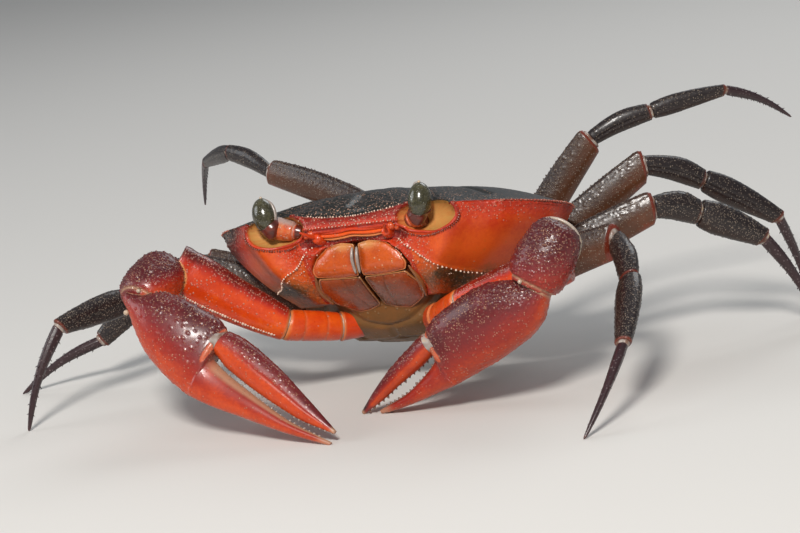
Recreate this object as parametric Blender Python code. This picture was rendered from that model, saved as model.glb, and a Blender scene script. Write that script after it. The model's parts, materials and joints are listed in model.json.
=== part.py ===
"""A manicou crab at life size, standing with its front raised and both claws on the ground.

The body frame has its origin at the middle of the carapace, level with its margin: x towards the crab's left,
y towards its back, z up. Body lengths and limb lengths are fractions of the carapace width. The model stands
on z = 0, and the origin is at the bottom centre of its bounding box.
"""

import math
import random

import bmesh
import bpy
import numpy as np

# Driving sizes, in metres and degrees
CARAPACE_WIDTH = 0.085
BODY_HEIGHT = 0.037
BODY_PITCH = 15.4
BODY_ROLL = 4.6
CLEARANCE = 0.0003

W = CARAPACE_WIDTH
GAP = CLEARANCE / W

# Carapace outline on the crab's left, from the middle of the front round to the middle of the back: x, y, z
MARGIN = [
    (0.000, -0.300, 0.010),
    (0.075, -0.308, 0.012),
    (0.145, -0.300, 0.010),
    (0.215, -0.288, 0.002),
    (0.300, -0.310, -0.006),
    (0.350, -0.270, -0.006),
    (0.425, -0.215, -0.008),
    (0.480, -0.135, -0.012),
    (0.500, -0.050, -0.015),
    (0.475, 0.060, -0.020),
    (0.400, 0.155, -0.026),
    (0.300, 0.228, -0.036),
    (0.185, 0.268, -0.044),
    (0.000, 0.280, -0.044),
]
DOME_RISE = 0.068
DOME_RINGS = (0.35, 0.62, 0.82, 0.94)
MARGIN_STEPS = 34

# Carapace wall below the margin: height, side scale, front y, back y
WALL = [
    (-0.022, 0.995, -0.304, 0.284),
    (-0.060, 0.955, -0.300, 0.280),
    (-0.100, 0.885, -0.288, 0.270),
    (-0.140, 0.805, -0.272, 0.255),
    (-0.180, 0.715, -0.234, 0.230),
    (-0.225, 0.600, -0.166, 0.195),
]
FRONT_RECESS = 0.026
FRONT_RECESS_HEIGHTS = (-0.048, -0.078)
FRONT_RECESS_HALF_WIDTH = 0.165

# Thorax below the carapace: height, half width, front y, back y
THORAX = [
    (-0.130, 0.150, -0.110, 0.200),
    (-0.150, 0.235, -0.150, 0.235),
    (-0.215, 0.250, -0.150, 0.235),
    (-0.255, 0.235, -0.134, 0.215),
    (-0.295, 0.205, -0.114, 0.165),
    (-0.325, 0.150, -0.075, 0.100),
]
THORAX_STEPS = 28

# Eyes and orbits, as centres and half sizes
ORBIT = {"centre": (0.222, -0.318, -0.030), "size": (0.088, 0.062, 0.046)}
EYE_SIZE = (0.0315, 0.030, 0.0475)
EYES = {"left": (0.209, -0.306, 0.008), "right": (-0.253, -0.306, 0.015)}
EYE_LEAN = {"left": 4.0, "right": -10.0}
STALK_ROOT = (0.158, -0.272, -0.038)
STALK_RADII = (0.024, 0.030)

# Mouth field, its outer face going down: y, z
MOUTH_FACE = [
    (-0.276, -0.070), (-0.274, -0.110), (-0.259, -0.162), (-0.203, -0.203), (-0.151, -0.235), (-0.124, -0.262),
]
MAXILLIPED_MERUS = [
    (0.009, -0.084), (0.042, -0.079), (0.082, -0.086), (0.118, -0.112), (0.136, -0.142), (0.130, -0.158),
    (0.070, -0.163), (0.009, -0.163),
]
MAXILLIPED_ISCHIUM = [
    (0.009, -0.170), (0.070, -0.170), (0.126, -0.166), (0.143, -0.193), (0.129, -0.226), (0.076, -0.250),
    (0.040, -0.246), (0.009, -0.237),
]
PLATE_THICKNESS = 0.020
PLATE_CROWN = 0.006

# Abdomen folded under the thorax: y, z, half width
ABDOMEN = [
    (0.296, -0.085, 0.110), (0.288, -0.150, 0.135), (0.245, -0.230, 0.150), (0.180, -0.287, 0.155),
    (0.110, -0.318, 0.148), (0.045, -0.325, 0.125), (-0.010, -0.323, 0.080), (-0.040, -0.320, 0.030),
]
ABDOMEN_HALF_THICKNESS = 0.010

# Walking legs: root in the body frame, scale of the thickness, each segment's own girth, then heading, pitch and
# length of each segment in the world. A standing leg's last entry is the heading and length of its dactyl, whose
# pitch follows from the floor. Rolls turn the segments' broad faces about their own length.
LEG_SEGMENTS = ("merus", "carpus", "propodus", "dactyl")
LEGS = {
    "leg_2_left": {
        "root": (0.290, -0.030, -0.230), "stout": 1.06, "rolls": (0, 35, 50, 50),
        "girths": (1, 1, 1.25, 1),
        "segments": [(12, 20, 0.34), (-58, -22, 0.18), (-76, -28, 0.24)], "foot": (-100, 0.28),
    },
    "leg_3_left": {
        "root": (0.285, 0.080, -0.215), "stout": 1.0, "girths": (1, 1.18, 1.38, 1.05),
        "segments": [(24, 24.5, 0.425), (46, -16, 0.135), (34, -29, 0.195)], "foot": (45, 0.31),
    },
    "leg_4_left": {
        "root": (0.260, 0.170, -0.190), "stout": 0.95, "girths": (1, 1.05, 1.22, 1),
        "segments": [(28, 36.5, 0.455), (40, -22, 0.175), (34, -34, 0.24)], "foot": (70, 0.32),
    },
    "leg_5_left": {
        "root": (0.202, 0.282, -0.138), "stout": 0.84, "girths": (1.06, 1, 1, 1),
        "segments": [(30, 53, 0.40), (30, 18, 0.18), (34, 8, 0.215), (55, -28, 0.24)],
    },
    "leg_2_right": {
        "root": (-0.290, -0.030, -0.230), "stout": 1.06, "girths": (1, 1, 1.2, 1),
        "segments": [(-171, 22, 0.34), (-140, -14, 0.20), (-112, -5, 0.24)], "foot": (-120, 0.29),
    },
    "leg_3_right": {
        "root": (-0.285, 0.080, -0.215), "stout": 1.0, "girths": (1, 1.1, 1.3, 1),
        "segments": [(176, 17, 0.40), (-152, -14, 0.17), (-144, -38, 0.22)], "foot": (-150, 0.27),
    },
    "leg_4_right": {
        "root": (-0.260, 0.170, -0.190), "stout": 0.95, "girths": (1, 1.05, 1.22, 1),
        "segments": [(140, 24, 0.40), (150, -20, 0.18), (158, -30, 0.22)], "foot": (150, 0.30),
    },
    "leg_5_right": {
        "root": (-0.202, 0.282, -0.138), "stout": 0.84, "girths": (1.06, 1, 1, 1),
        "ischium": (120, 60, 0.19),
        "segments": [(168, 16.5, 0.41), (162, 17, 0.18), (142, -14, 0.22), (128, -42, 0.24)],
    },
}
# Cross-sections along each segment: place, half thickness, half height
LEG_PROFILES = {
    "merus": [
        (0, 0.021, 0.032), (0.12, 0.026, 0.045), (0.45, 0.027, 0.051), (0.8, 0.026, 0.047), (1, 0.024, 0.042),
    ],
    "carpus": [(0, 0.018, 0.024), (0.25, 0.022, 0.030), (0.65, 0.024, 0.034), (1, 0.020, 0.028)],
    "propodus": [(0, 0.018, 0.026), (0.18, 0.020, 0.031), (0.55, 0.019, 0.029), (1, 0.014, 0.019)],
    "dactyl": [
        (0, 0.013, 0.016), (0.15, 0.013, 0.016), (0.5, 0.0095, 0.0115), (0.85, 0.006, 0.007),
        (1, 0.0032, 0.0034),
    ],
}
LEG_BOW = {"merus": 0.010, "carpus": 0.012, "propodus": 0.004, "dactyl": 0.016}
LEG_SIDES = 10
MERUS_KEEL = 0.22
SEGMENT_PLACES = (0, 0.07, 0.28, 0.5, 0.72, 0.93, 1)
STUB_PLACES = (0, 0.5, 1)
COXA_INNER = (0.150, 0.165, -0.165)
COXA_PROFILE = [(0, 0.024, 0.034), (0.6, 0.026, 0.040), (1, 0.024, 0.037)]

# Claws: arm from root, ischium and merus. The carpus starts beside the merus's end, and the palm and fingers
# follow along the claw's axis. Their top and bottom lines are places along that axis with heights.
CLAWS = {
    "left": {
        "root": (0.150, -0.115, -0.285), "ischium": (-36.4, 22.5, 0.146), "merus": (6.4, 20.15, 0.3054),
        "carpus_offset": (0.031, -0.050, 0.106), "carpus": (-140.7, -55.6, 0.180), "palm_heading": 186,
        "tip_height": 0.0, "length": 0.590, "merus_size": 0.9, "carpus_size": 1.0, "heel": (0.012, -0.046),
        "top": [
            (0, 0.022), (0.045, 0.052), (0.10, 0.079), (0.165, 0.088), (0.235, 0.089), (0.282, 0.082),
            (0.312, 0.060), (0.322, 0.004), (0.39, -0.018), (0.46, -0.026), (0.545, -0.018),
        ],
        "bottom": [
            (0, -0.070), (0.03, -0.089), (0.09, -0.101), (0.16, -0.101), (0.235, -0.095), (0.305, -0.087),
            (0.322, -0.085), (0.37, -0.075), (0.43, -0.063), (0.49, -0.048), (0.545, -0.030),
        ],
        "finger_top": [
            (0.296, 0.060), (0.32, 0.071), (0.38, 0.064), (0.45, 0.052), (0.52, 0.033), (0.59, 0.008),
        ],
        "finger_bottom": [
            (0.296, 0.014), (0.32, 0.013), (0.38, 0.006), (0.45, 0.003), (0.52, -0.002), (0.59, -0.003),
        ],
    },
    "right": {
        "root": (-0.150, -0.115, -0.285), "ischium": (-130, 12.9, 0.156), "merus": (-152.7, 34.77, 0.331),
        "carpus_offset": (-0.012, -0.006, 0.020), "carpus": (-97, -28, 0.165), "palm_heading": -8,
        "tip_height": 0.009, "length": 0.660, "merus_size": 1.0, "carpus_size": 0.96, "heel": (0.018, -0.020),
        "top": [
            (0, 0.030), (0.05, 0.066), (0.10, 0.079), (0.165, 0.086), (0.22, 0.089), (0.248, 0.078),
            (0.262, 0.054), (0.272, -0.004), (0.36, -0.015), (0.51, -0.019), (0.668, 0.000),
        ],
        "bottom": [
            (0, -0.036), (0.05, -0.067), (0.10, -0.092), (0.16, -0.107), (0.22, -0.115), (0.262, -0.116),
            (0.272, -0.1155), (0.33, -0.106), (0.42, -0.083), (0.54, -0.052), (0.668, -0.010),
        ],
        "finger_top": [
            (0.244, 0.062), (0.272, 0.081), (0.32, 0.086), (0.42, 0.078), (0.54, 0.056), (0.660, 0.030),
        ],
        "finger_bottom": [
            (0.244, 0.012), (0.272, 0.008), (0.32, -0.003), (0.42, -0.0070), (0.54, -0.003), (0.660, 0.020),
        ],
    },
}
CLAW_FACE = (-62, 12)
PALM_THICKNESS = [(0, 0.034), (0.25, 0.056), (0.55, 0.062), (0.85, 0.052), (1.0, 0.040)]
FINGER_THICKNESS = [(0, 0.036), (0.5, 0.025), (0.85, 0.014), (1.0, 0.006)]
ARM_PROFILE = [
    (0, 0.036, 0.042), (0.15, 0.040, 0.049), (0.5, 0.042, 0.060), (0.85, 0.046, 0.067), (1, 0.042, 0.060),
]
ISCHIUM_PROFILE = [(0, 0.034, 0.038), (0.5, 0.036, 0.041), (1, 0.036, 0.042)]
CARPUS_PROFILE = [
    (0, 0.030, 0.034), (0.10, 0.052, 0.056), (0.35, 0.066, 0.072), (0.65, 0.069, 0.077), (0.90, 0.060, 0.067),
    (1, 0.046, 0.052),
]
CLAW_COXA_PROFILE = [(0, 0.034, 0.036), (1, 0.036, 0.040)]
ARM_BOW = -0.006
ARM_KEEL = 0.10
ARM_SIDES = 12
CLAW_SIDES = 16

# Pointed forms, whose roots are sunk this deep. Denticles: shares of half the carapace outline. Tubercles and
# spines: shares of the segment's length. Teeth: places along each claw, on the palm and on the finger.
SPIKE_SIDES = 5
SPIKE_ROOT = 0.006
SPIKE_SPREAD = 0.2
DENTICLES = {"count": 15, "first": 0.335, "last": 0.640, "radius": 0.0085, "height": 0.0075, "rise": 0.25}
TUBERCLES = {"count": 8, "first": 0.14, "last": 0.93, "radius": 0.0085, "height": 0.0065}
DACTYL_SPINES = {"places": (0.26, 0.48, 0.70), "radius": 0.0048, "height": 0.0085, "lean": 0.9}
TEETH = {
    "left": {
        "palm": (0.355, 0.500), "finger": (0.345, 0.545), "count": 6, "radius": 0.0085, "height": 0.0065,
    },
    "right": {
        "palm": (0.300, 0.600), "finger": (0.315, 0.620), "count": 7, "radius": 0.0075, "height": 0.0045,
    },
}

# Faces that a cut leaves in one plane, within this angle, are joined, and points this close are made one
FLAT_ANGLE = math.radians(0.6)
MERGE_DISTANCE = 1e-6

# Antennae: root, end of the base and end of the lash on the crab's left
ANTENNA = [(0.098, -0.262, -0.062), (0.104, -0.308, -0.060), (0.125, -0.350, -0.044)]
ANTENNA_RADII = (0.016, 0.012, 0.0032)


# Vectors and curves

def unit(vector):
    vector = np.asarray(vector, float)
    return vector / np.linalg.norm(vector)


def direction(heading, pitch):
    """Unit vector of a heading from +x towards +y and a pitch above the floor, in degrees."""
    h = math.radians(heading)
    p = math.radians(pitch)
    return np.array([math.cos(h) * math.cos(p), math.sin(h) * math.cos(p), math.sin(p)])


def side_vector(heading):
    h = math.radians(heading)
    return np.array([math.sin(h), -math.cos(h), 0.0])


def lean_matrix(degrees):
    """Turns about y, leaning the top towards +x."""
    a = math.radians(degrees)
    return np.array([[math.cos(a), 0, math.sin(a)], [0, 1, 0], [-math.sin(a), 0, math.cos(a)]])


def body_rotation():
    p = math.radians(-BODY_PITCH)
    pitch = np.array([[1, 0, 0], [0, math.cos(p), -math.sin(p)], [0, math.sin(p), math.cos(p)]])
    return pitch @ lean_matrix(-BODY_ROLL)


BODY_ROTATION = body_rotation()


def body_points(points):
    """Carries points of the body frame into the world, in carapace widths."""
    return np.asarray(points, float) @ BODY_ROTATION.T + np.array([0, 0, BODY_HEIGHT / W])


def smooth_curve(points, places):
    """Reads a smooth curve through the points, given as rows whose first column is the place along it."""
    points = np.asarray(points, float)
    x = points[:, 0]
    slopes = np.gradient(points[:, 1:], x, axis=0)
    places = np.clip(np.asarray(places, float), x[0], x[-1])
    k = np.clip(np.searchsorted(x, places, side="right") - 1, 0, len(x) - 2)
    span = x[k + 1] - x[k]
    t = ((places - x[k]) / span)[:, None]
    a = points[k, 1:]
    b = points[k + 1, 1:]
    sa = slopes[k] * span[:, None]
    sb = slopes[k + 1] * span[:, None]
    blend = 3 * t**2 - 2 * t**3
    return (1 - blend) * a + (t**3 - 2 * t**2 + t) * sa + blend * b + (t**3 - t**2) * sb


def along(points, count):
    """Spreads count points evenly over a smooth curve through the given points."""
    points = np.asarray(points, float)
    steps = np.linalg.norm(np.diff(points, axis=0), axis=1)
    place = np.concatenate([[0], np.cumsum(steps)]) / steps.sum()
    return smooth_curve(np.column_stack([place, points]), np.linspace(0, 1, count))


# Closed bodies

def loft(rings):
    """Joins rings of equal count into one closed body with a fan at each end."""
    rings = np.asarray(rings, float)
    count, sides, _ = rings.shape
    verts = list(rings.reshape(-1, 3)) + [rings[0].mean(axis=0), rings[-1].mean(axis=0)]
    faces = []
    for k in range(count - 1):
        for i in range(sides):
            j = (i + 1) % sides
            a, b, c, d = k * sides + i, k * sides + j, (k + 1) * sides + j, (k + 1) * sides + i
            faces += [(a, b, c), (a, c, d)]
    first = count * sides
    last = first + 1
    for i in range(sides):
        j = (i + 1) % sides
        faces.append((first, j, i))
        faces.append((last, (count - 1) * sides + i, (count - 1) * sides + j))
    return np.array(verts), faces


def ring(centre, side, up, half_side, half_up, sides, keel=0.0):
    angle = np.arange(sides) * 2 * math.pi / sides
    across = np.cos(angle) * half_side * (1 - keel * np.sin(angle))
    return centre + np.outer(across, side) + np.outer(np.sin(angle) * half_up, up)


def cross_axes(start, end, side):
    """The directions along, beside and above a segment, from its ends and roughly the direction beside it."""
    axis = unit(end - start)
    side = unit(side - axis * (side @ axis))
    return axis, side, np.cross(side, axis)


def tube(start, end, side, profile, sides, start_face=None, end_face=None, bow=0.0, keel=0.0, grow=0.0,
         places=SEGMENT_PLACES):
    """A tapered limb segment whose two end faces may be turned to meet its neighbours' faces."""
    axis, side, up = cross_axes(start, end, side)
    length = np.linalg.norm(end - start)
    sizes = smooth_curve(profile, places)
    reach = 0.34
    rings = []
    for t, (half_side, half_up) in zip(places, sizes):
        at = start + axis * (t * length + (t * 2 - 1) * grow) + up * bow * math.sin(math.pi * t)
        points = ring(at, side, up, half_side + grow, half_up + grow, sides, keel)
        for face, weight in ((start_face, 1 - t / reach), (end_face, 1 - (1 - t) / reach)):
            if face is not None and weight > 0:
                shift = -((points - at) @ face) / (axis @ face)
                points = points + np.outer(shift * weight, axis)
        rings.append(points)
    return loft(rings)


def ellipsoid(centre, size, turn=None, grow=0.0, sides=14, levels=9):
    turn = np.eye(3) if turn is None else turn
    rings = []
    for k in range(1, levels):
        polar = math.pi * k / levels
        angle = np.arange(sides) * 2 * math.pi / sides
        x = math.sin(polar) * np.cos(angle)
        y = math.sin(polar) * np.sin(angle)
        z = np.full(sides, math.cos(polar))
        rings.append(np.column_stack([x, y, z]) * (np.asarray(size) + grow))
    verts, faces = loft(rings)
    verts[-2] = (0, 0, size[2] + grow)
    verts[-1] = (0, 0, -size[2] - grow)
    return verts @ turn.T + np.asarray(centre, float), faces


def spike(base, out, radius, height):
    """A short cone with its root sunk below the surface that its base is on."""
    size = 1 + random.uniform(-SPIKE_SPREAD, SPIKE_SPREAD)
    side = unit(np.cross(out, [0.31, 0.17, 0.93]))
    root = base - out * SPIKE_ROOT
    verts, faces = loft([ring(root, side, np.cross(side, out), radius, radius, SPIKE_SIDES)])
    verts[-2] = root - out * SPIKE_ROOT
    verts[-1] = base + out * height * size
    return verts, faces


# Body shapes

def margin_points():
    half = along(MARGIN, MARGIN_STEPS + 1)
    mirrored = half[1:-1][::-1] * np.array([-1, 1, 1])
    return np.vstack([half, mirrored])


def front_recess(x, z):
    """Depth of the hollow under the frontal band, where the feelers fold away."""
    high, low = FRONT_RECESS_HEIGHTS
    down = np.clip((high - z) / 0.012, 0, 1) * np.clip((z - low) / 0.03 + 1, 0, 1)
    inside = np.clip((FRONT_RECESS_HALF_WIDTH - np.abs(x)) / 0.03, 0, 1)
    return FRONT_RECESS * down * inside


def carapace_shell():
    outline = margin_points()
    rings = []
    for fraction in DOME_RINGS:
        rise = DOME_RISE * (1 - fraction**2.4)
        rings.append(np.column_stack([outline[:, :2] * fraction, outline[:, 2] * fraction + rise]))
    rings.append(outline)
    front = outline[:, 1] < 0
    for height, side_scale, front_y, back_y in WALL:
        y = np.where(front, outline[:, 1] * front_y / MARGIN[0][1], outline[:, 1] * back_y / MARGIN[-1][1])
        x = outline[:, 0] * side_scale
        y = y + front_recess(x, height) * front
        rings.append(np.column_stack([x, y, np.full(len(x), height)]))
    verts, faces = loft(rings)
    verts[-2] = (0, 0, DOME_RISE)
    return body_points(verts), faces


def margin_denticles(sign):
    """A row of small teeth on the side margin of the carapace, behind the corner of the orbit."""
    steps = 200
    curve = along(MARGIN, steps + 1)
    spikes = []
    for share in np.linspace(DENTICLES["first"], DENTICLES["last"], DENTICLES["count"]):
        k = round(share * steps)
        tangent = curve[k + 1] - curve[k - 1]
        out = unit([tangent[1], -tangent[0], 0])
        tilted = unit(out + [0, 0, DENTICLES["rise"]]) * [sign, 1, 1]
        base = body_points([curve[k] * [sign, 1, 1]])[0]
        spikes.append(spike(base, BODY_ROTATION @ tilted, DENTICLES["radius"], DENTICLES["height"]))
    return spikes


def thorax_core(grow=0.0):
    angle = np.arange(THORAX_STEPS) * 2 * math.pi / THORAX_STEPS
    round_x = np.sign(np.cos(angle)) * np.abs(np.cos(angle)) ** 0.8
    round_y = np.sign(np.sin(angle)) * np.abs(np.sin(angle)) ** 0.8
    rings = []
    for k, (height, half_width, front_y, back_y) in enumerate(THORAX):
        middle = (front_y + back_y) / 2
        half_length = (back_y - front_y) / 2
        height += grow * (k == 0) - grow * (k == len(THORAX) - 1)
        x = round_x * (half_width + grow)
        y = middle + round_y * (half_length + grow)
        rings.append(np.column_stack([x, y, np.full(len(angle), height)]))
    verts, faces = loft(rings)
    return body_points(verts), faces


def orbit_hollow(sign):
    x, y, z = ORBIT["centre"]
    verts, faces = ellipsoid((sign * x, y, z), ORBIT["size"])
    return body_points(verts), faces


def eye_turn(side):
    return BODY_ROTATION @ lean_matrix(EYE_LEAN[side])


def eye(side, grow=0.0):
    centre = body_points([EYES[side]])[0]
    return ellipsoid(centre, EYE_SIZE, eye_turn(side), grow)


def eyestalk(side, grow=0.0):
    sign = 1 if side == "left" else -1
    root, end = body_points([(sign * STALK_ROOT[0], STALK_ROOT[1], STALK_ROOT[2]), EYES[side]])
    up = eye_turn(side)[:, 2]
    end = end - up * EYE_SIZE[2] * 0.35
    inner, outer = STALK_RADII
    profile = [(0, inner, inner), (0.5, inner, inner), (1, outer, outer)]
    return tube(root, end, BODY_ROTATION[:, 1], profile, 10, grow=grow, places=STUB_PLACES)


def antenna(sign, grow=0.0):
    root, base, tip = body_points([(sign * x, y, z) for x, y, z in ANTENNA])
    thick, base_end, thin = ANTENNA_RADII
    across = np.array([1.0, 0, 0])
    profile = [(0, thick, thick), (0.6, thick, thick), (1, base_end, base_end)]
    knob = tube(root, base, across, profile, 8, grow=grow, places=STUB_PLACES)
    lash_profile = [(0, thin * 1.6, thin * 1.6), (1, thin, thin)]
    lash = tube(root + (base - root) * 0.7, tip, across, lash_profile, 6, grow=grow, places=STUB_PLACES)
    return knob, lash


def mouth_surface(x, z):
    """Point and outward normal of the mouth field's outer face at a width and a height."""
    face = np.array(MOUTH_FACE)[::-1]
    y = smooth_curve(face[:, ::-1], [z])[0, 0]
    step = 0.004
    low, high = smooth_curve(face[:, ::-1], [z - step, z + step])[:, 0]
    normal = unit([0, -2 * step, high - low])
    bulge = 0.10 * x * x
    return np.array([x, y + bulge, z]), normal


def mouth_plate(outline, sign, grow=0.0):
    outline = np.array(outline)
    middle = outline.mean(axis=0)
    rings = []
    crown = PLATE_CROWN + grow
    for scale, depth in ((1.0, -PLATE_THICKNESS - grow), (1.0, 0.0), (0.80, crown), (0.35, crown + PLATE_CROWN / 2)):
        points = []
        for x, z in outline:
            away = unit([x - middle[0], z - middle[1]])
            px, pz = middle + ((x, z) - middle) * scale + away * grow
            place, normal = mouth_surface(px, pz)
            place = place + normal * depth
            points.append((sign * place[0], place[1], place[2]))
        rings.append(points)
    verts, faces = loft(rings)
    return body_points(verts), faces


def abdomen(grow=0.0):
    path = along(ABDOMEN, 12)
    rings = []
    for k, (y, z, half_width) in enumerate(path):
        before = path[max(k - 1, 0)]
        after = path[min(k + 1, len(path) - 1)]
        forward = unit([0, after[0] - before[0], after[1] - before[1]])
        across = np.array([1.0, 0, 0])
        out = np.cross(forward, across)
        centre = np.array([0, y, z]) + forward * grow * ((k == len(path) - 1) - (k == 0))
        rings.append(ring(centre, across, out, half_width + grow, ABDOMEN_HALF_THICKNESS + grow, 14))
    verts, faces = loft(rings)
    return body_points(verts), faces


# Limbs

def leg_joints(leg):
    """Joint points of a leg from its root to its tip, with each segment's heading."""
    at = body_points([leg["root"]])[0]
    if "ischium" in leg:
        at = at + direction(*leg["ischium"][:2]) * leg["ischium"][2]
    points = [at]
    headings = []
    for heading, pitch, length in leg["segments"]:
        points.append(points[-1] + direction(heading, pitch) * length)
        headings.append(heading)
    if "foot" in leg:
        heading, length = leg["foot"]
        height = points[-1][2]
        reach = math.sqrt(length**2 - height**2)
        points.append(points[-1] + direction(heading, 0) * reach - np.array([0, 0, height]))
        headings.append(heading)
    return points, headings


def leg_faces(leg, points):
    """Normals of the faces in which a leg's segments meet, from its root to its tip."""
    root = body_points([leg["root"]])[0]
    if "ischium" in leg:
        inner = unit(points[0] - root)
    else:
        inner = unit(root - coxa_start(leg))
    axes = [inner] + [unit(b - a) for a, b in zip(points[:-1], points[1:])]
    faces = [unit(a + b) for a, b in zip(axes[:-1], axes[1:])]
    if "foot" in leg:
        faces.append(np.array([0, 0, -1.0]))
    else:
        faces.append(axes[-1])
    return faces


def coxa_start(leg):
    """Inner end of a coxa, inside the thorax, whose back the last pair's would otherwise miss."""
    x, y, z = leg["root"]
    inner = (math.copysign(COXA_INNER[0], x), min(y * 0.9, COXA_INNER[1]), min(z + 0.012, COXA_INNER[2]))
    return body_points([inner])[0]


def leg_line(name, k):
    """Ends, side direction, cross-sections and bow of a leg's segment, with its end faces' normals."""
    leg = LEGS[name]
    points, headings = leg_joints(leg)
    faces = leg_faces(leg, points)
    kind = LEG_SEGMENTS[k]
    girth = leg["stout"] * leg["girths"][k]
    profile = [(t, a * girth, b * girth) for t, a, b in LEG_PROFILES[kind]]
    start = points[k] + faces[k] * GAP / 2
    end = points[k + 1]
    if k < 3:
        end = end - faces[k + 1] * GAP / 2
    side = side_vector(headings[k])
    if "rolls" in leg:
        roll = math.radians(leg["rolls"][k])
        up = np.cross(side, unit(end - start))
        side = side * math.cos(roll) + up * math.sin(roll)
    return start, end, side, profile, LEG_BOW[kind] * leg["stout"], faces[k], faces[k + 1]


def leg_segment(name, k, grow=0.0):
    start, end, side, profile, bow, first_face, last_face = leg_line(name, k)
    keel = MERUS_KEEL if LEG_SEGMENTS[k] == "merus" else 0.0
    return tube(start, end, side, profile, LEG_SIDES, first_face, last_face, bow, keel, grow)


def leg_edge(name, k, place, sign):
    """Point on the upper or lower edge of a leg's segment, with the directions along it and away from it."""
    start, end, side, profile, bow = leg_line(name, k)[:5]
    axis, side, up = cross_axes(start, end, side)
    half_up = smooth_curve(profile, [place])[0, 1] * math.cos(math.pi / LEG_SIDES)
    at = start + (end - start) * place + up * bow * math.sin(math.pi * place)
    return at + up * half_up * sign, axis, up * sign


def under_carapace(point, clearance):
    """Whether a point of a limb lies inside the carapace's outline, or within a clearance of it."""
    x, y, z = BODY_ROTATION.T @ (point - [0, 0, BODY_HEIGHT / W])
    outline = margin_points()
    angles = np.arctan2(outline[:, 1], outline[:, 0])
    reach = np.interp(math.atan2(y, x), angles, np.hypot(outline[:, 0], outline[:, 1]), period=2 * math.pi)
    return math.hypot(x, y) < reach + clearance


def merus_tubercles(name):
    """Tubercles on a merus's upper edge, from where it comes out from under the carapace."""
    radius = TUBERCLES["radius"]
    spikes = []
    for place in np.linspace(TUBERCLES["first"], TUBERCLES["last"], TUBERCLES["count"]):
        base, axis, out = leg_edge(name, 0, place, 1)
        if not under_carapace(base, radius):
            spikes.append(spike(base, out, radius, TUBERCLES["height"]))
    return spikes


def dactyl_spines(name):
    spikes = []
    for place in DACTYL_SPINES["places"]:
        for sign in (1, -1):
            base, axis, out = leg_edge(name, 3, place, sign)
            spikes.append(spike(base, unit(out + axis * DACTYL_SPINES["lean"]), DACTYL_SPINES["radius"],
                                DACTYL_SPINES["height"]))
    return spikes


def coxa(name, grow=0.0):
    """The coxa that carries a leg, with the raised ischium where the leg has one."""
    leg = LEGS[name]
    points, headings = leg_joints(leg)
    faces = leg_faces(leg, points)
    profile = [(t, a * leg["stout"], b * leg["stout"]) for t, a, b in COXA_PROFILE]
    shape = {"profile": profile, "sides": LEG_SIDES, "grow": grow, "places": STUB_PLACES}
    root = body_points([leg["root"]])[0]
    start = coxa_start(leg)
    flat = unit((root - start) * np.array([1, 1, 0]))
    side = np.array([flat[1], -flat[0], 0])
    if "ischium" not in leg:
        return [tube(start, root - faces[0] * GAP / 2, side, end_face=faces[0], **shape)]
    rise = unit(points[0] - root)
    end = points[0] - faces[0] * GAP / 2
    inner = tube(start, root + unit(root - start) * 0.012, side, **shape)
    outer = tube(root - rise * 0.02, end, side_vector(headings[0]), end_face=faces[0], **shape)
    return [inner, outer]


def claw_points(side):
    claw = CLAWS[side]
    root = body_points([claw["root"]])[0]
    knee = root + direction(*claw["ischium"][:2]) * claw["ischium"][2]
    elbow = knee + direction(*claw["merus"][:2]) * claw["merus"][2]
    carpus_start = elbow + np.array(claw["carpus_offset"])
    wrist = carpus_start + direction(*claw["carpus"][:2]) * claw["carpus"][2]
    pitch = math.degrees(math.asin((claw["tip_height"] - wrist[2]) / claw["length"]))
    axis = direction(claw["palm_heading"], pitch)
    return root, knee, elbow, carpus_start, wrist, axis


def claw_coxa_start(side):
    x, y, z = CLAWS[side]["root"]
    return body_points([(x * 0.50, y + 0.075, z + 0.01)])[0]


def arm_faces(side):
    """Normals of the faces in which the coxa, ischium and merus of a claw's arm meet."""
    root, knee, elbow = claw_points(side)[:3]
    inner = unit(root - claw_coxa_start(side))
    first = unit(knee - root)
    return unit(inner + first), unit(first + unit(elbow - knee))


def claw_coxa(side, grow=0.0):
    face = arm_faces(side)[0]
    end = claw_points(side)[0] - face * GAP / 2
    return tube(claw_coxa_start(side), end, np.array([0, 1.0, 0]), CLAW_COXA_PROFILE, LEG_SIDES, end_face=face,
                grow=grow, places=STUB_PLACES)


def claw_ischium(side, grow=0.0):
    root, knee = claw_points(side)[:2]
    first, second = arm_faces(side)
    across = side_vector(CLAWS[side]["ischium"][0])
    return tube(root + first * GAP / 2, knee - second * GAP / 2, across, ISCHIUM_PROFILE, ARM_SIDES,
                start_face=first, end_face=second, grow=grow, places=STUB_PLACES)


def claw_merus(side, grow=0.0):
    knee, elbow = claw_points(side)[1:3]
    face = arm_faces(side)[1]
    across = side_vector(CLAWS[side]["merus"][0])
    size = CLAWS[side]["merus_size"]
    profile = [(t, a * size, b * size) for t, a, b in ARM_PROFILE]
    return tube(knee + face * GAP / 2, elbow, across, profile, ARM_SIDES, start_face=face, bow=ARM_BOW,
                keel=ARM_KEEL, grow=grow)


def claw_frame(side):
    axis = claw_points(side)[5]
    face = direction(*CLAW_FACE)
    out = unit(face - axis * (face @ axis))
    up = np.cross(axis, out)
    return axis, out, up if up[2] > 0 else -up


def claw_carpus(side, grow=0.0):
    start, wrist = claw_points(side)[3:5]
    size = CLAWS[side]["carpus_size"]
    profile = [(t, a * size, b * size) for t, a, b in CARPUS_PROFILE]
    out = claw_frame(side)[1]
    return tube(start, wrist, out, profile, CLAW_SIDES, grow=grow)


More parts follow.
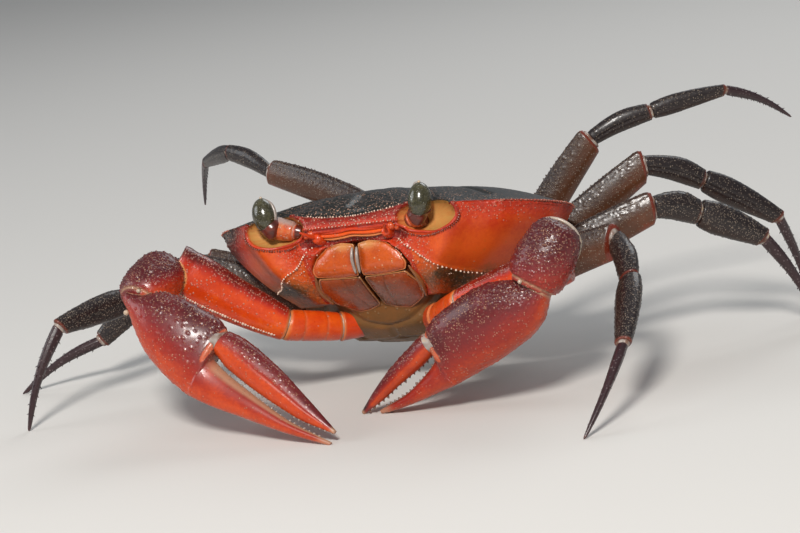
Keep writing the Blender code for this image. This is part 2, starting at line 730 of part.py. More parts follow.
def claw_blade(side, top, bottom, thickness, places, grow=0.0):
    """A flattened body along the claw's axis between a top line and a bottom line."""
    wrist = claw_points(side)[4]
    axis, out, up = claw_frame(side)
    high = smooth_curve(top, places)[:, 0]
    low = smooth_curve(bottom, places)[:, 0]
    share = (places - places[0]) / (places[-1] - places[0])
    thick = smooth_curve(thickness, share)[:, 0]
    rings = []
    for place, a, b, c in zip(places, high, low, thick):
        centre = wrist + axis * place + up * (a + b) / 2
        rings.append(ring(centre, out, up, c + grow, (a - b) / 2 + grow, CLAW_SIDES))
    return loft(rings)


def claw_palm(side, grow=0.0):
    claw = CLAWS[side]
    end = claw["top"][-1][0]
    step = claw["top"][7][0]
    before = claw["top"][6][0]
    places = np.concatenate([np.linspace(-0.03, before, 7), np.linspace(step, end, 6)])
    top = [(-0.03, claw["heel"][0])] + claw["top"]
    bottom = [(-0.03, claw["heel"][1])] + claw["bottom"]
    share = before / end
    thickness = [(t * share, v) for t, v in PALM_THICKNESS]
    thickness += [(share + (1 - share) * t, v) for t, v in FINGER_THICKNESS[1:]]
    return claw_blade(side, top, bottom, thickness, places, grow)


def claw_finger(side, grow=0.0):
    claw = CLAWS[side]
    places = np.linspace(claw["finger_top"][0][0], claw["finger_top"][-1][0], 10)
    return claw_blade(side, claw["finger_top"], claw["finger_bottom"], FINGER_THICKNESS, places, grow)


def claw_teeth(side, piece):
    """Teeth on the cutting edge of a palm's fixed finger or of the movable finger."""
    claw = CLAWS[side]
    teeth = TEETH[side]
    line, sign = (claw["top"], 1) if piece == "palm" else (claw["finger_bottom"], -1)
    wrist = claw_points(side)[4]
    axis, out, up = claw_frame(side)
    spikes = []
    for place in np.linspace(*teeth[piece], teeth["count"]):
        edge = smooth_curve(line, [place])[0, 0]
        base = wrist + axis * place + up * edge
        spikes.append(spike(base, up * sign, teeth["radius"], teeth["height"]))
    return spikes


# Blender objects

def material(name, colour, roughness):
    found = bpy.data.materials.get(name)
    if found:
        return found
    made = bpy.data.materials.new(name)
    made.use_nodes = True
    shader = made.node_tree.nodes["Principled BSDF"]
    shader.inputs["Base Color"].default_value = (*colour, 1)
    shader.inputs["Roughness"].default_value = roughness
    made.diffuse_color = (*colour, 1)
    return made


MATERIALS = {
    "carapace": ((0.30, 0.06, 0.02), 0.35),
    "underside": ((0.24, 0.12, 0.05), 0.45),
    "mouthpart": ((0.42, 0.12, 0.04), 0.35),
    "arm": ((0.52, 0.08, 0.02), 0.30),
    "claw": ((0.28, 0.04, 0.03), 0.30),
    "leg": ((0.12, 0.05, 0.04), 0.40),
    "dactyl": ((0.08, 0.04, 0.03), 0.40),
    "eyestalk": ((0.50, 0.16, 0.06), 0.35),
    "cornea": ((0.05, 0.05, 0.02), 0.12),
}


def add_object(name, shape, finish):
    verts, faces = shape
    mesh = bpy.data.meshes.new(name)
    mesh.from_pydata([tuple(v) for v in np.asarray(verts) * W], [], faces)
    made = bpy.data.objects.new(name, mesh)
    bpy.context.scene.collection.objects.link(made)
    mend(made)
    if finish:
        mesh.materials.append(material(finish, *MATERIALS[finish]))
    return made


def mend(target, flat_angle=None):
    """Keeps the largest closed surface, as clean triangles facing out."""
    work = bmesh.new()
    work.from_mesh(target.data)
    bmesh.ops.remove_doubles(work, verts=work.verts, dist=MERGE_DISTANCE)
    bmesh.ops.dissolve_degenerate(work, edges=work.edges, dist=MERGE_DISTANCE)
    if flat_angle:
        bmesh.ops.dissolve_limit(work, angle_limit=flat_angle, verts=work.verts, edges=work.edges)
    bmesh.ops.triangulate(work, faces=work.faces)
    islands = face_islands(work)
    largest = max(islands, key=lambda faces: abs(island_volume(faces)))
    kept = set(largest)
    bmesh.ops.delete(work, geom=[f for f in work.faces if f not in kept], context="FACES")
    bmesh.ops.recalc_face_normals(work, faces=work.faces)
    work.to_mesh(target.data)
    work.free()


def face_islands(work):
    """Groups of faces joined through edges that have two faces."""
    islands = []
    seen = set()
    for face in work.faces:
        if face in seen:
            continue
        seen.add(face)
        stack = [face]
        island = []
        while stack:
            at = stack.pop()
            island.append(at)
            for edge in at.edges:
                if len(edge.link_faces) != 2:
                    continue
                for other in edge.link_faces:
                    if other not in seen:
                        seen.add(other)
                        stack.append(other)
        islands.append(island)
    return islands


def island_volume(faces):
    total = 0.0
    for face in faces:
        a, b, c = [v.co for v in face.verts]
        total += a.dot(b.cross(c)) / 6
    return total


def combine(target, shapes, operation):
    """Unites closed shapes with the target, or cuts them from it, in one step.

    The exact solver loses the carapace where the legs' cutters cross, so the one for closed meshes is used.
    """
    holder = bpy.data.collections.new("tools")
    bpy.context.scene.collection.children.link(holder)
    for shape in shapes:
        tool = add_object("tool", shape, None)
        bpy.context.scene.collection.objects.unlink(tool)
        holder.objects.link(tool)
        tool.hide_render = True
        tool.display_type = "WIRE"
    step = target.modifiers.new("combine", "BOOLEAN")
    step.operand_type = "COLLECTION"
    step.collection = holder
    step.operation = operation
    step.solver = "MANIFOLD"
    depsgraph = bpy.context.evaluated_depsgraph_get()
    result = bpy.data.meshes.new_from_object(target.evaluated_get(depsgraph))
    target.modifiers.clear()
    target.data = result
    for tool in list(holder.objects):
        bpy.data.objects.remove(tool)
    bpy.data.collections.remove(holder)
    mend(target, FLAT_ANGLE)


def press_flat(target):
    """Sets the lowest points of a claw on the floor."""
    for vertex in target.data.vertices:
        vertex.co.z = max(vertex.co.z, 0.0)


# Assembly

def build_body():
    legs = list(LEGS)
    sides = list(CLAWS)
    plates = [(MAXILLIPED_MERUS, "merus"), (MAXILLIPED_ISCHIUM, "ischium")]
    coxae = [shape for name in legs for shape in coxa(name)] + [claw_coxa(side) for side in sides]
    wide_coxae = [shape for name in legs for shape in coxa(name, GAP)]
    wide_coxae += [claw_coxa(side, GAP) for side in sides]
    wide_limbs = [leg_segment(name, 0, GAP) for name in legs]
    wide_arms = [claw_ischium(side, GAP) for side in sides] + [claw_merus(side, GAP) for side in sides]
    wide_plates = [mouth_plate(outline, sign, GAP) for outline, _ in plates for sign in (1, -1)]
    wide_stalks = [eyestalk(side, GAP) for side in sides] + [eye(side, GAP) for side in sides]
    wide_antennae = [antenna(sign, GAP)[0] for sign in (1, -1)]

    thorax = add_object("thorax", thorax_core(), "underside")
    combine(thorax, wide_limbs + wide_arms, "DIFFERENCE")
    combine(thorax, coxae, "UNION")
    combine(thorax, wide_plates + [abdomen(GAP)], "DIFFERENCE")

    carapace = add_object("carapace", carapace_shell(), "carapace")
    cutters = [thorax_core(GAP), abdomen(GAP)] + wide_coxae + wide_limbs + wide_arms + wide_plates
    cutters += [orbit_hollow(sign) for sign in (1, -1)] + wide_stalks + wide_antennae
    combine(carapace, margin_denticles(1) + margin_denticles(-1), "UNION")
    combine(carapace, cutters, "DIFFERENCE")

    add_object("abdomen", abdomen(), "underside")
    for outline, kind in plates:
        for side, sign in (("left", 1), ("right", -1)):
            add_object(f"maxilliped_{kind}_{side}", mouth_plate(outline, sign), "mouthpart")
    for side, sign in (("left", 1), ("right", -1)):
        add_object(f"eye_{side}", eye(side), "cornea")
        stalk = add_object(f"eyestalk_{side}", eyestalk(side), "eyestalk")
        combine(stalk, [eye(side, GAP)], "DIFFERENCE")
        knob, lash = antenna(sign)
        feeler = add_object(f"antenna_{side}", knob, "arm")
        combine(feeler, [lash], "UNION")


def build_claws():
    for side in CLAWS:
        add_object(f"claw_ischium_{side}", claw_ischium(side), "arm")
        merus = add_object(f"claw_merus_{side}", claw_merus(side), "arm")
        combine(merus, [claw_carpus(side, GAP)], "DIFFERENCE")
        add_object(f"claw_carpus_{side}", claw_carpus(side), "claw")
        palm = add_object(f"claw_palm_{side}", claw_palm(side), "claw")
        combine(palm, [claw_carpus(side, GAP)], "DIFFERENCE")
        combine(palm, claw_teeth(side, "palm"), "UNION")
        press_flat(palm)
        finger = add_object(f"claw_finger_{side}", claw_finger(side), "claw")
        combine(finger, claw_teeth(side, "finger"), "UNION")
        combine(finger, [claw_palm(side, GAP)], "DIFFERENCE")
        press_flat(finger)


def build_legs():
    for name in LEGS:
        for k, kind in enumerate(LEG_SEGMENTS):
            made = add_object(f"{name}_{kind}", leg_segment(name, k), "dactyl" if kind == "dactyl" else "leg")
            if kind == "merus":
                combine(made, merus_tubercles(name), "UNION")
            if kind == "dactyl":
                combine(made, dactyl_spines(name), "UNION")


def centre_on_floor():
    """Moves everything so that the origin is below the middle of the bounding box."""
    corners = np.array([v.co for made in bpy.data.objects for v in made.data.vertices])
    middle = (corners.min(axis=0) + corners.max(axis=0)) / 2
    for made in bpy.data.objects:
        for vertex in made.data.vertices:
            vertex.co.x -= middle[0]
            vertex.co.y -= middle[1]


def main():
    random.seed(7)
    for old in list(bpy.data.objects):
        bpy.data.objects.remove(old)
    build_body()
    build_claws()
    build_legs()
    centre_on_floor()


main()
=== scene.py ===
"""The manicou crab's detailed surfaces, its colours, and a plain studio round it.

The body frame has its origin at the middle of the carapace, level with its margin: x towards the crab's left,
y towards its back, z up. Lengths are fractions of the carapace width until a mesh is made.
"""

import itertools
import json
import math

import bpy
import numpy as np
from mathutils import Matrix, Vector

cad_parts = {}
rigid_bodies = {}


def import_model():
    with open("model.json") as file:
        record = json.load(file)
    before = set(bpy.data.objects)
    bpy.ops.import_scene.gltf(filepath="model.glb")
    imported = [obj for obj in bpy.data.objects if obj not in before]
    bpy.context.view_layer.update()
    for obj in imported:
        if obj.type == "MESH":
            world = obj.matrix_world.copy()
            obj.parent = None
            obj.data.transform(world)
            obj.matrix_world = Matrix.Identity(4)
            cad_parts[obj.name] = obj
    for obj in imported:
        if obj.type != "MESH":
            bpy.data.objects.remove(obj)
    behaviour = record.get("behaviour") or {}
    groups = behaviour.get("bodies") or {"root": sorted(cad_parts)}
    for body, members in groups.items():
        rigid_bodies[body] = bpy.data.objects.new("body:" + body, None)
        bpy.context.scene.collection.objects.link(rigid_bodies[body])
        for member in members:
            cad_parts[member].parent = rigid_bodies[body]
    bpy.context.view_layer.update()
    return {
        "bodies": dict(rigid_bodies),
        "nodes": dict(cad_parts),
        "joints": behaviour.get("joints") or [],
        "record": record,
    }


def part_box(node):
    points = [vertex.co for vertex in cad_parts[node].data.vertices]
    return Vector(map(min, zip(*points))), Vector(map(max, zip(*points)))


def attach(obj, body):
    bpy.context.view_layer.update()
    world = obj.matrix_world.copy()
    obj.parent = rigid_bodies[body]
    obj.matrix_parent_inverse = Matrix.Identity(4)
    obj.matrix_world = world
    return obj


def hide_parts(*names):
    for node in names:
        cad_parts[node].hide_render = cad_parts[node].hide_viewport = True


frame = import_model()

# Driving sizes, in metres and degrees
CARAPACE_WIDTH = 0.085
BODY_HEIGHT = 0.037
BODY_PITCH = 15.4
BODY_ROLL = 4.6
CLEARANCE = 0.0003

W = CARAPACE_WIDTH
GAP = CLEARANCE / W
SIDES = (("left", 1), ("right", -1))

# Carapace outline on the crab's left, from the middle of the front round to the middle of the back: x, y, z
MARGIN = [
    (0.000, -0.300, 0.010),
    (0.075, -0.308, 0.012),
    (0.145, -0.300, 0.010),
    (0.215, -0.288, 0.002),
    (0.300, -0.310, -0.006),
    (0.350, -0.270, -0.006),
    (0.425, -0.215, -0.008),
    (0.480, -0.135, -0.012),
    (0.500, -0.050, -0.015),
    (0.475, 0.060, -0.020),
    (0.400, 0.155, -0.026),
    (0.300, 0.228, -0.036),
    (0.185, 0.268, -0.044),
    (0.000, 0.280, -0.044),
]
DOME_RISE = 0.068

# Carapace wall below the margin: height, side scale, front y, back y
WALL = [
    (-0.022, 0.995, -0.304, 0.284),
    (-0.060, 0.955, -0.300, 0.280),
    (-0.100, 0.885, -0.288, 0.270),
    (-0.140, 0.805, -0.272, 0.255),
    (-0.180, 0.715, -0.234, 0.230),
    (-0.225, 0.600, -0.166, 0.195),
]
FRONT_RECESS = 0.026
FRONT_RECESS_HEIGHTS = (-0.048, -0.078)
FRONT_RECESS_HALF_WIDTH = 0.165

# Thorax below the carapace: height, half width, front y, back y
THORAX = [
    (-0.130, 0.150, -0.110, 0.200),
    (-0.150, 0.235, -0.150, 0.235),
    (-0.215, 0.250, -0.150, 0.235),
    (-0.255, 0.235, -0.134, 0.215),
    (-0.295, 0.205, -0.114, 0.165),
    (-0.325, 0.150, -0.075, 0.100),
]

# Eyes and orbits, as centres and half sizes
ORBIT = {"centre": (0.222, -0.318, -0.030), "size": (0.088, 0.062, 0.046)}
EYE_SIZE = (0.0315, 0.030, 0.0475)
EYES = {"left": (0.209, -0.306, 0.008), "right": (-0.253, -0.306, 0.015)}
EYE_LEAN = {"left": 4.0, "right": -10.0}
STALK_ROOT = (0.158, -0.272, -0.038)
STALK_RADII = (0.024, 0.030)

# Mouth field, its outer face going down: y, z
MOUTH_FACE = [
    (-0.276, -0.070), (-0.274, -0.110), (-0.259, -0.162), (-0.203, -0.203), (-0.151, -0.235),
    (-0.124, -0.262),
]
MAXILLIPEDS = {
    "merus": [
        (0.009, -0.084), (0.042, -0.079), (0.082, -0.086), (0.118, -0.112), (0.136, -0.142), (0.130, -0.158),
        (0.070, -0.163), (0.009, -0.163),
    ],
    "ischium": [
        (0.009, -0.170), (0.070, -0.170), (0.126, -0.166), (0.143, -0.193), (0.129, -0.226), (0.076, -0.250),
        (0.040, -0.246), (0.009, -0.237),
    ],
}
PLATE_THICKNESS = 0.020

# Abdomen folded under the thorax: y, z, half width
ABDOMEN = [
    (0.296, -0.085, 0.110), (0.288, -0.150, 0.135), (0.245, -0.230, 0.150), (0.180, -0.287, 0.155),
    (0.110, -0.318, 0.148), (0.045, -0.325, 0.125), (-0.010, -0.323, 0.080), (-0.040, -0.320, 0.030),
]
ABDOMEN_HALF_THICKNESS = 0.010

# Walking legs: root in the body frame, scale of the thickness, each segment's own girth, then heading, pitch
# and length of each segment in the world. A standing leg's last entry is the heading and length of its
# dactyl, whose pitch follows from the floor. Rolls turn the segments' broad faces about their own length.
LEG_SEGMENTS = ("merus", "carpus", "propodus", "dactyl")
LEGS = {
    "leg_2_left": {
        "root": (0.290, -0.030, -0.230), "stout": 1.06, "rolls": (0, 35, 50, 50),
        "girths": (1, 1, 1.25, 1),
        "segments": [(12, 20, 0.34), (-58, -22, 0.18), (-76, -28, 0.24)], "foot": (-100, 0.28),
    },
    "leg_3_left": {
        "root": (0.285, 0.080, -0.215), "stout": 1.0, "girths": (1, 1.18, 1.38, 1.05),
        "segments": [(24, 24.5, 0.425), (46, -16, 0.135), (34, -29, 0.195)], "foot": (45, 0.31),
    },
    "leg_4_left": {
        "root": (0.260, 0.170, -0.190), "stout": 0.95, "girths": (1, 1.05, 1.22, 1),
        "segments": [(28, 36.5, 0.455), (40, -22, 0.175), (34, -34, 0.24)], "foot": (70, 0.32),
    },
    "leg_5_left": {
        "root": (0.202, 0.282, -0.138), "stout": 0.84, "girths": (1.06, 1, 1, 1),
        "segments": [(30, 53, 0.40), (30, 18, 0.18), (34, 8, 0.215), (55, -28, 0.24)],
    },
    "leg_2_right": {
        "root": (-0.290, -0.030, -0.230), "stout": 1.06, "girths": (1, 1, 1.2, 1),
        "segments": [(-171, 22, 0.34), (-140, -14, 0.20), (-112, -5, 0.24)], "foot": (-120, 0.29),
    },
    "leg_3_right": {
        "root": (-0.285, 0.080, -0.215), "stout": 1.0, "girths": (1, 1.1, 1.3, 1),
        "segments": [(176, 17, 0.40), (-152, -14, 0.17), (-144, -38, 0.22)], "foot": (-150, 0.27),
    },
    "leg_4_right": {
        "root": (-0.260, 0.170, -0.190), "stout": 0.95, "girths": (1, 1.05, 1.22, 1),
        "segments": [(140, 24, 0.40), (150, -20, 0.18), (158, -30, 0.22)], "foot": (150, 0.30),
    },
    "leg_5_right": {
        "root": (-0.202, 0.282, -0.138), "stout": 0.84, "girths": (1.06, 1, 1, 1),
        "ischium": (120, 60, 0.19),
        "segments": [(168, 16.5, 0.41), (162, 17, 0.18), (142, -14, 0.22), (128, -42, 0.24)],
    },
}
# Cross-sections along each segment: place, half thickness, half height
LEG_PROFILES = {
    "merus": [
        (0, 0.021, 0.032), (0.12, 0.026, 0.045), (0.45, 0.027, 0.051), (0.8, 0.026, 0.047), (1, 0.024, 0.042),
    ],
    "carpus": [(0, 0.018, 0.024), (0.25, 0.022, 0.030), (0.65, 0.024, 0.034), (1, 0.020, 0.028)],
    "propodus": [(0, 0.018, 0.026), (0.18, 0.020, 0.031), (0.55, 0.019, 0.029), (1, 0.014, 0.019)],
    "dactyl": [
        (0, 0.013, 0.016), (0.15, 0.013, 0.016), (0.5, 0.0095, 0.0115), (0.85, 0.006, 0.007),
        (1, 0.0032, 0.0034),
    ],
}
LEG_BOW = {"merus": 0.010, "carpus": 0.012, "propodus": 0.004, "dactyl": 0.016}
MERUS_KEEL = 0.22
COXA_INNER = (0.150, 0.165, -0.165)
COXA_PROFILE = [(0, 0.024, 0.034), (0.6, 0.026, 0.040), (1, 0.024, 0.037)]

# Claws: arm from root, ischium and merus. The carpus starts beside the merus's end, and the palm and fingers
# follow along the claw's axis. Their top and bottom lines are places along that axis with heights.
CLAWS = {
    "left": {
        "root": (0.150, -0.115, -0.285), "ischium": (-36.4, 22.5, 0.146), "merus": (6.4, 20.15, 0.3054),
        "carpus_offset": (0.031, -0.050, 0.106), "carpus": (-140.7, -55.6, 0.180), "palm_heading": 186,
        "tip_height": 0.0, "length": 0.590, "merus_size": 0.9, "carpus_size": 1.0, "heel": (0.012, -0.046),
        "top": [
            (0, 0.022), (0.045, 0.052), (0.10, 0.079), (0.165, 0.088), (0.235, 0.089), (0.282, 0.082),
            (0.312, 0.060), (0.322, 0.004), (0.39, -0.018), (0.46, -0.026), (0.545, -0.018),
        ],
        "bottom": [
            (0, -0.070), (0.03, -0.089), (0.09, -0.101), (0.16, -0.101), (0.235, -0.095), (0.305, -0.087),
            (0.322, -0.085), (0.37, -0.075), (0.43, -0.063), (0.49, -0.048), (0.545, -0.030),
        ],
        "finger_top": [
            (0.296, 0.060), (0.32, 0.071), (0.38, 0.064), (0.45, 0.052), (0.52, 0.033), (0.59, 0.008),
        ],
        "finger_bottom": [
            (0.296, 0.014), (0.32, 0.013), (0.38, 0.006), (0.45, 0.003), (0.52, -0.002), (0.59, -0.003),
        ],
    },
    "right": {
        "root": (-0.150, -0.115, -0.285), "ischium": (-130, 12.9, 0.156), "merus": (-152.7, 34.77, 0.331),
        "carpus_offset": (-0.012, -0.006, 0.020), "carpus": (-97, -28, 0.165), "palm_heading": -8,
        "tip_height": 0.009, "length": 0.660, "merus_size": 1.0, "carpus_size": 0.96, "heel": (0.018, -0.020),
        "top": [
            (0, 0.030), (0.05, 0.066), (0.10, 0.079), (0.165, 0.086), (0.22, 0.089), (0.248, 0.078),
            (0.262, 0.054), (0.272, -0.004), (0.36, -0.015), (0.51, -0.019), (0.668, 0.000),
        ],
        "bottom": [
            (0, -0.036), (0.05, -0.067), (0.10, -0.092), (0.16, -0.107), (0.22, -0.115), (0.262, -0.116),
            (0.272, -0.1155), (0.33, -0.106), (0.42, -0.083), (0.54, -0.052), (0.668, -0.010),
        ],
        "finger_top": [
            (0.244, 0.062), (0.272, 0.081), (0.32, 0.086), (0.42, 0.078), (0.54, 0.056), (0.660, 0.030),
        ],
        "finger_bottom": [
            (0.244, 0.012), (0.272, 0.008), (0.32, -0.003), (0.42, -0.0070), (0.54, -0.003), (0.660, 0.020),
        ],
    },
}
CLAW_FACE = (-62, 12)
PALM_THICKNESS = [(0, 0.034), (0.25, 0.056), (0.55, 0.062), (0.85, 0.052), (1.0, 0.040)]
FINGER_THICKNESS = [(0, 0.036), (0.5, 0.025), (0.85, 0.014), (1.0, 0.006)]
ARM_PROFILE = [
    (0, 0.036, 0.042), (0.15, 0.040, 0.049), (0.5, 0.042, 0.060), (0.85, 0.046, 0.067), (1, 0.042, 0.060),
]
ISCHIUM_PROFILE = [(0, 0.034, 0.038), (0.5, 0.036, 0.041), (1, 0.036, 0.042)]
CARPUS_PROFILE = [
    (0, 0.030, 0.034), (0.10, 0.052, 0.056), (0.35, 0.066, 0.072), (0.65, 0.069, 0.077), (0.90, 0.060, 0.067),
    (1, 0.046, 0.052),
]
CLAW_COXA_PROFILE = [(0, 0.034, 0.036), (1, 0.036, 0.040)]
ARM_BOW = -0.006
ARM_KEEL = 0.10

# Antennae: root, end of the base and end of the lash on the crab's left
ANTENNA = [(0.098, -0.262, -0.062), (0.104, -0.308, -0.060), (0.125, -0.350, -0.044)]
ANTENNA_RADII = (0.016, 0.012, 0.0032)

# The leg segment that ties this frame to the model's, drawn with these rings and sides
TIE_NODE = "leg_3_left_carpus"
TIE_PLACES = (0, 0.07, 0.28, 0.5, 0.72, 0.93, 1)
TIE_SIDES = 10

# Length of a face on the finest surfaces
FACE_SIZE = 0.0032

random_table = np.random.default_rng(11).random((4096, 4))


# Vectors and curves

def unit(vector):
    vector = np.asarray(vector, float)
    return vector / np.linalg.norm(vector)


def direction(heading, pitch):
    """Unit vector of a heading from +x towards +y and a pitch above the floor, in degrees."""
    h = math.radians(heading)
    p = math.radians(pitch)
    return np.array([math.cos(h) * math.cos(p), math.sin(h) * math.cos(p), math.sin(p)])


def side_vector(heading):
    h = math.radians(heading)
    return np.array([math.sin(h), -math.cos(h), 0.0])


def lean_matrix(degrees):
    """Turns about y, leaning the top towards +x."""
    a = math.radians(degrees)
    return np.array([[math.cos(a), 0, math.sin(a)], [0, 1, 0], [-math.sin(a), 0, math.cos(a)]])


def body_rotation():
    p = math.radians(-BODY_PITCH)
    pitch = np.array([[1, 0, 0], [0, math.cos(p), -math.sin(p)], [0, math.sin(p), math.cos(p)]])
    return pitch @ lean_matrix(-BODY_ROLL)


BODY_ROTATION = body_rotation()


def body_points(points):
    """Carries points of the body frame into the world, in carapace widths."""
    return np.asarray(points, float) @ BODY_ROTATION.T + np.array([0, 0, BODY_HEIGHT / W])


def body_point(point):
    return body_points([point])[0]


def in_body_frame(points):
    """Carries points of the world back into the body frame."""
    return (np.array(points) - [0, 0, BODY_HEIGHT / W]) @ BODY_ROTATION


def smooth_curve(points, places):
    """Reads a smooth curve through the points, given as rows whose first column is the place along it."""
    points = np.asarray(points, float)
    x = points[:, 0]
    slopes = np.gradient(points[:, 1:], x, axis=0)
    places = np.clip(np.asarray(places, float), x[0], x[-1])
    k = np.clip(np.searchsorted(x, places, side="right") - 1, 0, len(x) - 2)
    span = x[k + 1] - x[k]
    t = ((places - x[k]) / span)[:, None]
    a = points[k, 1:]
    b = points[k + 1, 1:]
    sa = slopes[k] * span[:, None]
    sb = slopes[k + 1] * span[:, None]
    blend = 3 * t**2 - 2 * t**3
    return (1 - blend) * a + (t**3 - 2 * t**2 + t) * sa + blend * b + (t**3 - t**2) * sb


def steady_curve(points, places):
    """Reads a curve through the points that never swings beyond them."""
    points = np.asarray(points, float)
    x = points[:, 0]
    y = points[:, 1]
    secants = np.diff(y) / np.diff(x)
    before = secants[:-1]
    after = secants[1:]
    same = before * after > 0
    inner = np.where(same, 2 * before * after / np.where(same, before + after, 1), 0)
    slopes = np.concatenate([secants[:1], inner, secants[-1:]])
    places = np.clip(np.asarray(places, float), x[0], x[-1])
    k = np.clip(np.searchsorted(x, places, side="right") - 1, 0, len(x) - 2)
    span = x[k + 1] - x[k]
    t = (places - x[k]) / span
    blend = 3 * t**2 - 2 * t**3
    bend = (t**3 - 2 * t**2 + t) * slopes[k] * span + (t**3 - t**2) * slopes[k + 1] * span
    return (1 - blend) * y[k] + blend * y[k + 1] + bend


def along(points, count):
    """Spreads count points evenly over a smooth curve through the given points."""
    points = np.asarray(points, float)
    steps = np.linalg.norm(np.diff(points, axis=0), axis=1)
    place = np.concatenate([[0], np.cumsum(steps)]) / steps.sum()
    return smooth_curve(np.column_stack([place, points]), np.linspace(0, 1, count))


def step_between(value, low, high):
    """0 below low, 1 above high, smooth between."""
    t = np.clip((value - low) / (high - low), 0, 1)
    return t * t * (3 - 2 * t)


def bump(value, centre, width):
    return np.exp(-((value - centre) / width) ** 2)


# Seeded patterns in space

def table_rows(cells, seed):
    x, y, z = np.moveaxis(cells, -1, 0)
    return random_table[(x * 73 + y * 179 + z * 283 + seed * 997) % len(random_table)]


def mottle(points, size, seed):
    """Soft random values from 0 to 1 whose patches have the given size."""
    at = np.asarray(points) / size
    cell = np.floor(at).astype(int)
    t = at - cell
    t = t * t * (3 - 2 * t)
    total = np.zeros(at.shape[:-1])
    for corner in itertools.product((0, 1), repeat=3):
        weight = np.prod(np.where(corner, t, 1 - t), axis=-1)
        total += weight * table_rows(cell + np.array(corner), seed)[..., 0]
    return total


def blotches(points, size, seed, amount):
    """Soft random values round zero, whose range is the amount."""
    return amount * (mottle(points, size, seed) - 0.5)


def granules(points, spacing, seed, radius=0.5, share=1.0):
    """Heights from 0 to 1 of round granules strewn through space, present in this share of the places."""
    at = np.asarray(points) / spacing
    cell = np.floor(at).astype(int)
    height = np.zeros(at.shape[:-1])
    for offset in itertools.product((-1, 0, 1), repeat=3):
        near = cell + np.array(offset)
        rows = table_rows(near, seed)
        away = np.linalg.norm(at - near - 0.2 - 0.6 * rows[..., :3], axis=-1)
        size = radius * (0.6 + 0.4 * rows[..., 3] / share)
        dome = np.clip(1 - (away / size) ** 2, 0, 1) * (rows[..., 3] < share)
        height = np.maximum(height, dome * size / radius)
    return height


# Surfaces as rings of points

def cross_axes(start, end, side):
    """The directions along, beside and above a segment, from its ends and roughly the direction beside it."""
    axis = unit(end - start)
    side = unit(side - axis * (side @ axis))
    return axis, side, np.cross(side, axis)


def ring_angles(sides):
    return np.arange(sides) * 2 * math.pi / sides


def round_rings(values, sides):
    """Values given ring by ring, repeated round each ring."""
    return np.repeat(values[:, None], sides, axis=1)


def scaled(profile, size):
    """Cross-sections, given as places with two half widths, made larger or smaller."""
    return [(place, a * size, b * size) for place, a, b in profile]


def rings_of(centres, side, up, half_side, half_up, sides, keel=0.0):
    angle = ring_angles(sides)
    across = np.cos(angle) * (1 - keel * np.sin(angle))
    flat = np.multiply.outer(half_side, across)[..., None] * side
    return centres[:, None, :] + flat + np.multiply.outer(half_up, np.sin(angle))[..., None] * up


def tube(start, end, side, profile, sides, places, start_face=None, end_face=None, bow=0.0, keel=0.0):
    """A tapered limb segment whose two end faces may be turned to meet its neighbours' faces."""
    axis, side, up = cross_axes(start, end, side)
    places = np.asarray(places, float)
    length = np.linalg.norm(end - start)
    sizes = smooth_curve(profile, places)
    centres = start + np.outer(places * length, axis) + np.outer(np.sin(math.pi * places) * bow, up)
    grid = rings_of(centres, side, up, sizes[:, 0], sizes[:, 1], sides, keel)
    reach = 0.34
    for face, weight in ((start_face, 1 - places / reach), (end_face, 1 - (1 - places) / reach)):
        if face is not None:
            shift = -((grid - centres[:, None, :]) @ face) / (axis @ face)
            grid = grid + (shift * np.clip(weight, 0, 1)[:, None])[..., None] * axis
    return grid


def ellipsoid(centre, size, turn=None, sides=40, levels=28):
    turn = np.eye(3) if turn is None else turn
    polar = np.linspace(0.02, math.pi - 0.02, levels)
    angle = ring_angles(sides)
    x = np.multiply.outer(np.sin(polar), np.cos(angle))
    y = np.multiply.outer(np.sin(polar), np.sin(angle))
    z = np.multiply.outer(np.cos(polar), np.ones(sides))
    return (np.stack([x, y, z], axis=-1) * np.asarray(size)) @ turn.T + np.asarray(centre, float)


def outward(grid):
    """Unit normals of a ringed surface, pointing away from each ring's middle."""
    down = np.gradient(grid, axis=0)
    round_ = np.roll(grid, -1, axis=1) - np.roll(grid, 1, axis=1)
    normal = np.cross(down, round_)
    normal /= np.maximum(np.linalg.norm(normal, axis=-1, keepdims=True), 1e-9)
    away = grid - grid.mean(axis=1, keepdims=True)
    return normal if (normal * away).sum() > 0 else -normal


def raised(grid, height):
    return grid + outward(grid) * height[..., None]


def turn_height(grid, up):
    """How far up each point of a ring lies, from -1 at its lowest to 1 at its highest."""
    level = (grid - grid.mean(axis=1, keepdims=True)) @ up
    return level / np.maximum(np.abs(level).max(axis=1, keepdims=True), 1e-9)


# Blender meshes and materials

def tie_shift():
    """Where the model's origin lies from this frame's, in metres, from one leg segment drawn in both."""
    start, end, side, profile, bow, first, last = leg_line(TIE_NODE.rsplit("_", 1)[0], 1)
    drawn = tube(start, end, side, profile, TIE_SIDES, TIE_PLACES, first, last, bow).reshape(-1, 3) * W
    low, high = (np.array(corner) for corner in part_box(TIE_NODE))
    return (low + high) / 2 - (drawn.min(axis=0) + drawn.max(axis=0)) / 2


def ring_faces(rings, sides):
    k, i = np.meshgrid(np.arange(rings - 1), np.arange(sides), indexing="ij")
    j = (i + 1) % sides
    quads = np.stack([k * sides + i, k * sides + j, (k + 1) * sides + j, (k + 1) * sides + i], axis=-1)
    i = np.arange(sides)
    j = (i + 1) % sides
    first = np.column_stack([np.full(sides, rings * sides), j, i])
    lowest = (rings - 1) * sides
    last = np.column_stack([np.full(sides, rings * sides + 1), lowest + i, lowest + j])
    return quads.reshape(-1, 4).tolist() + first.tolist() + last.tolist()


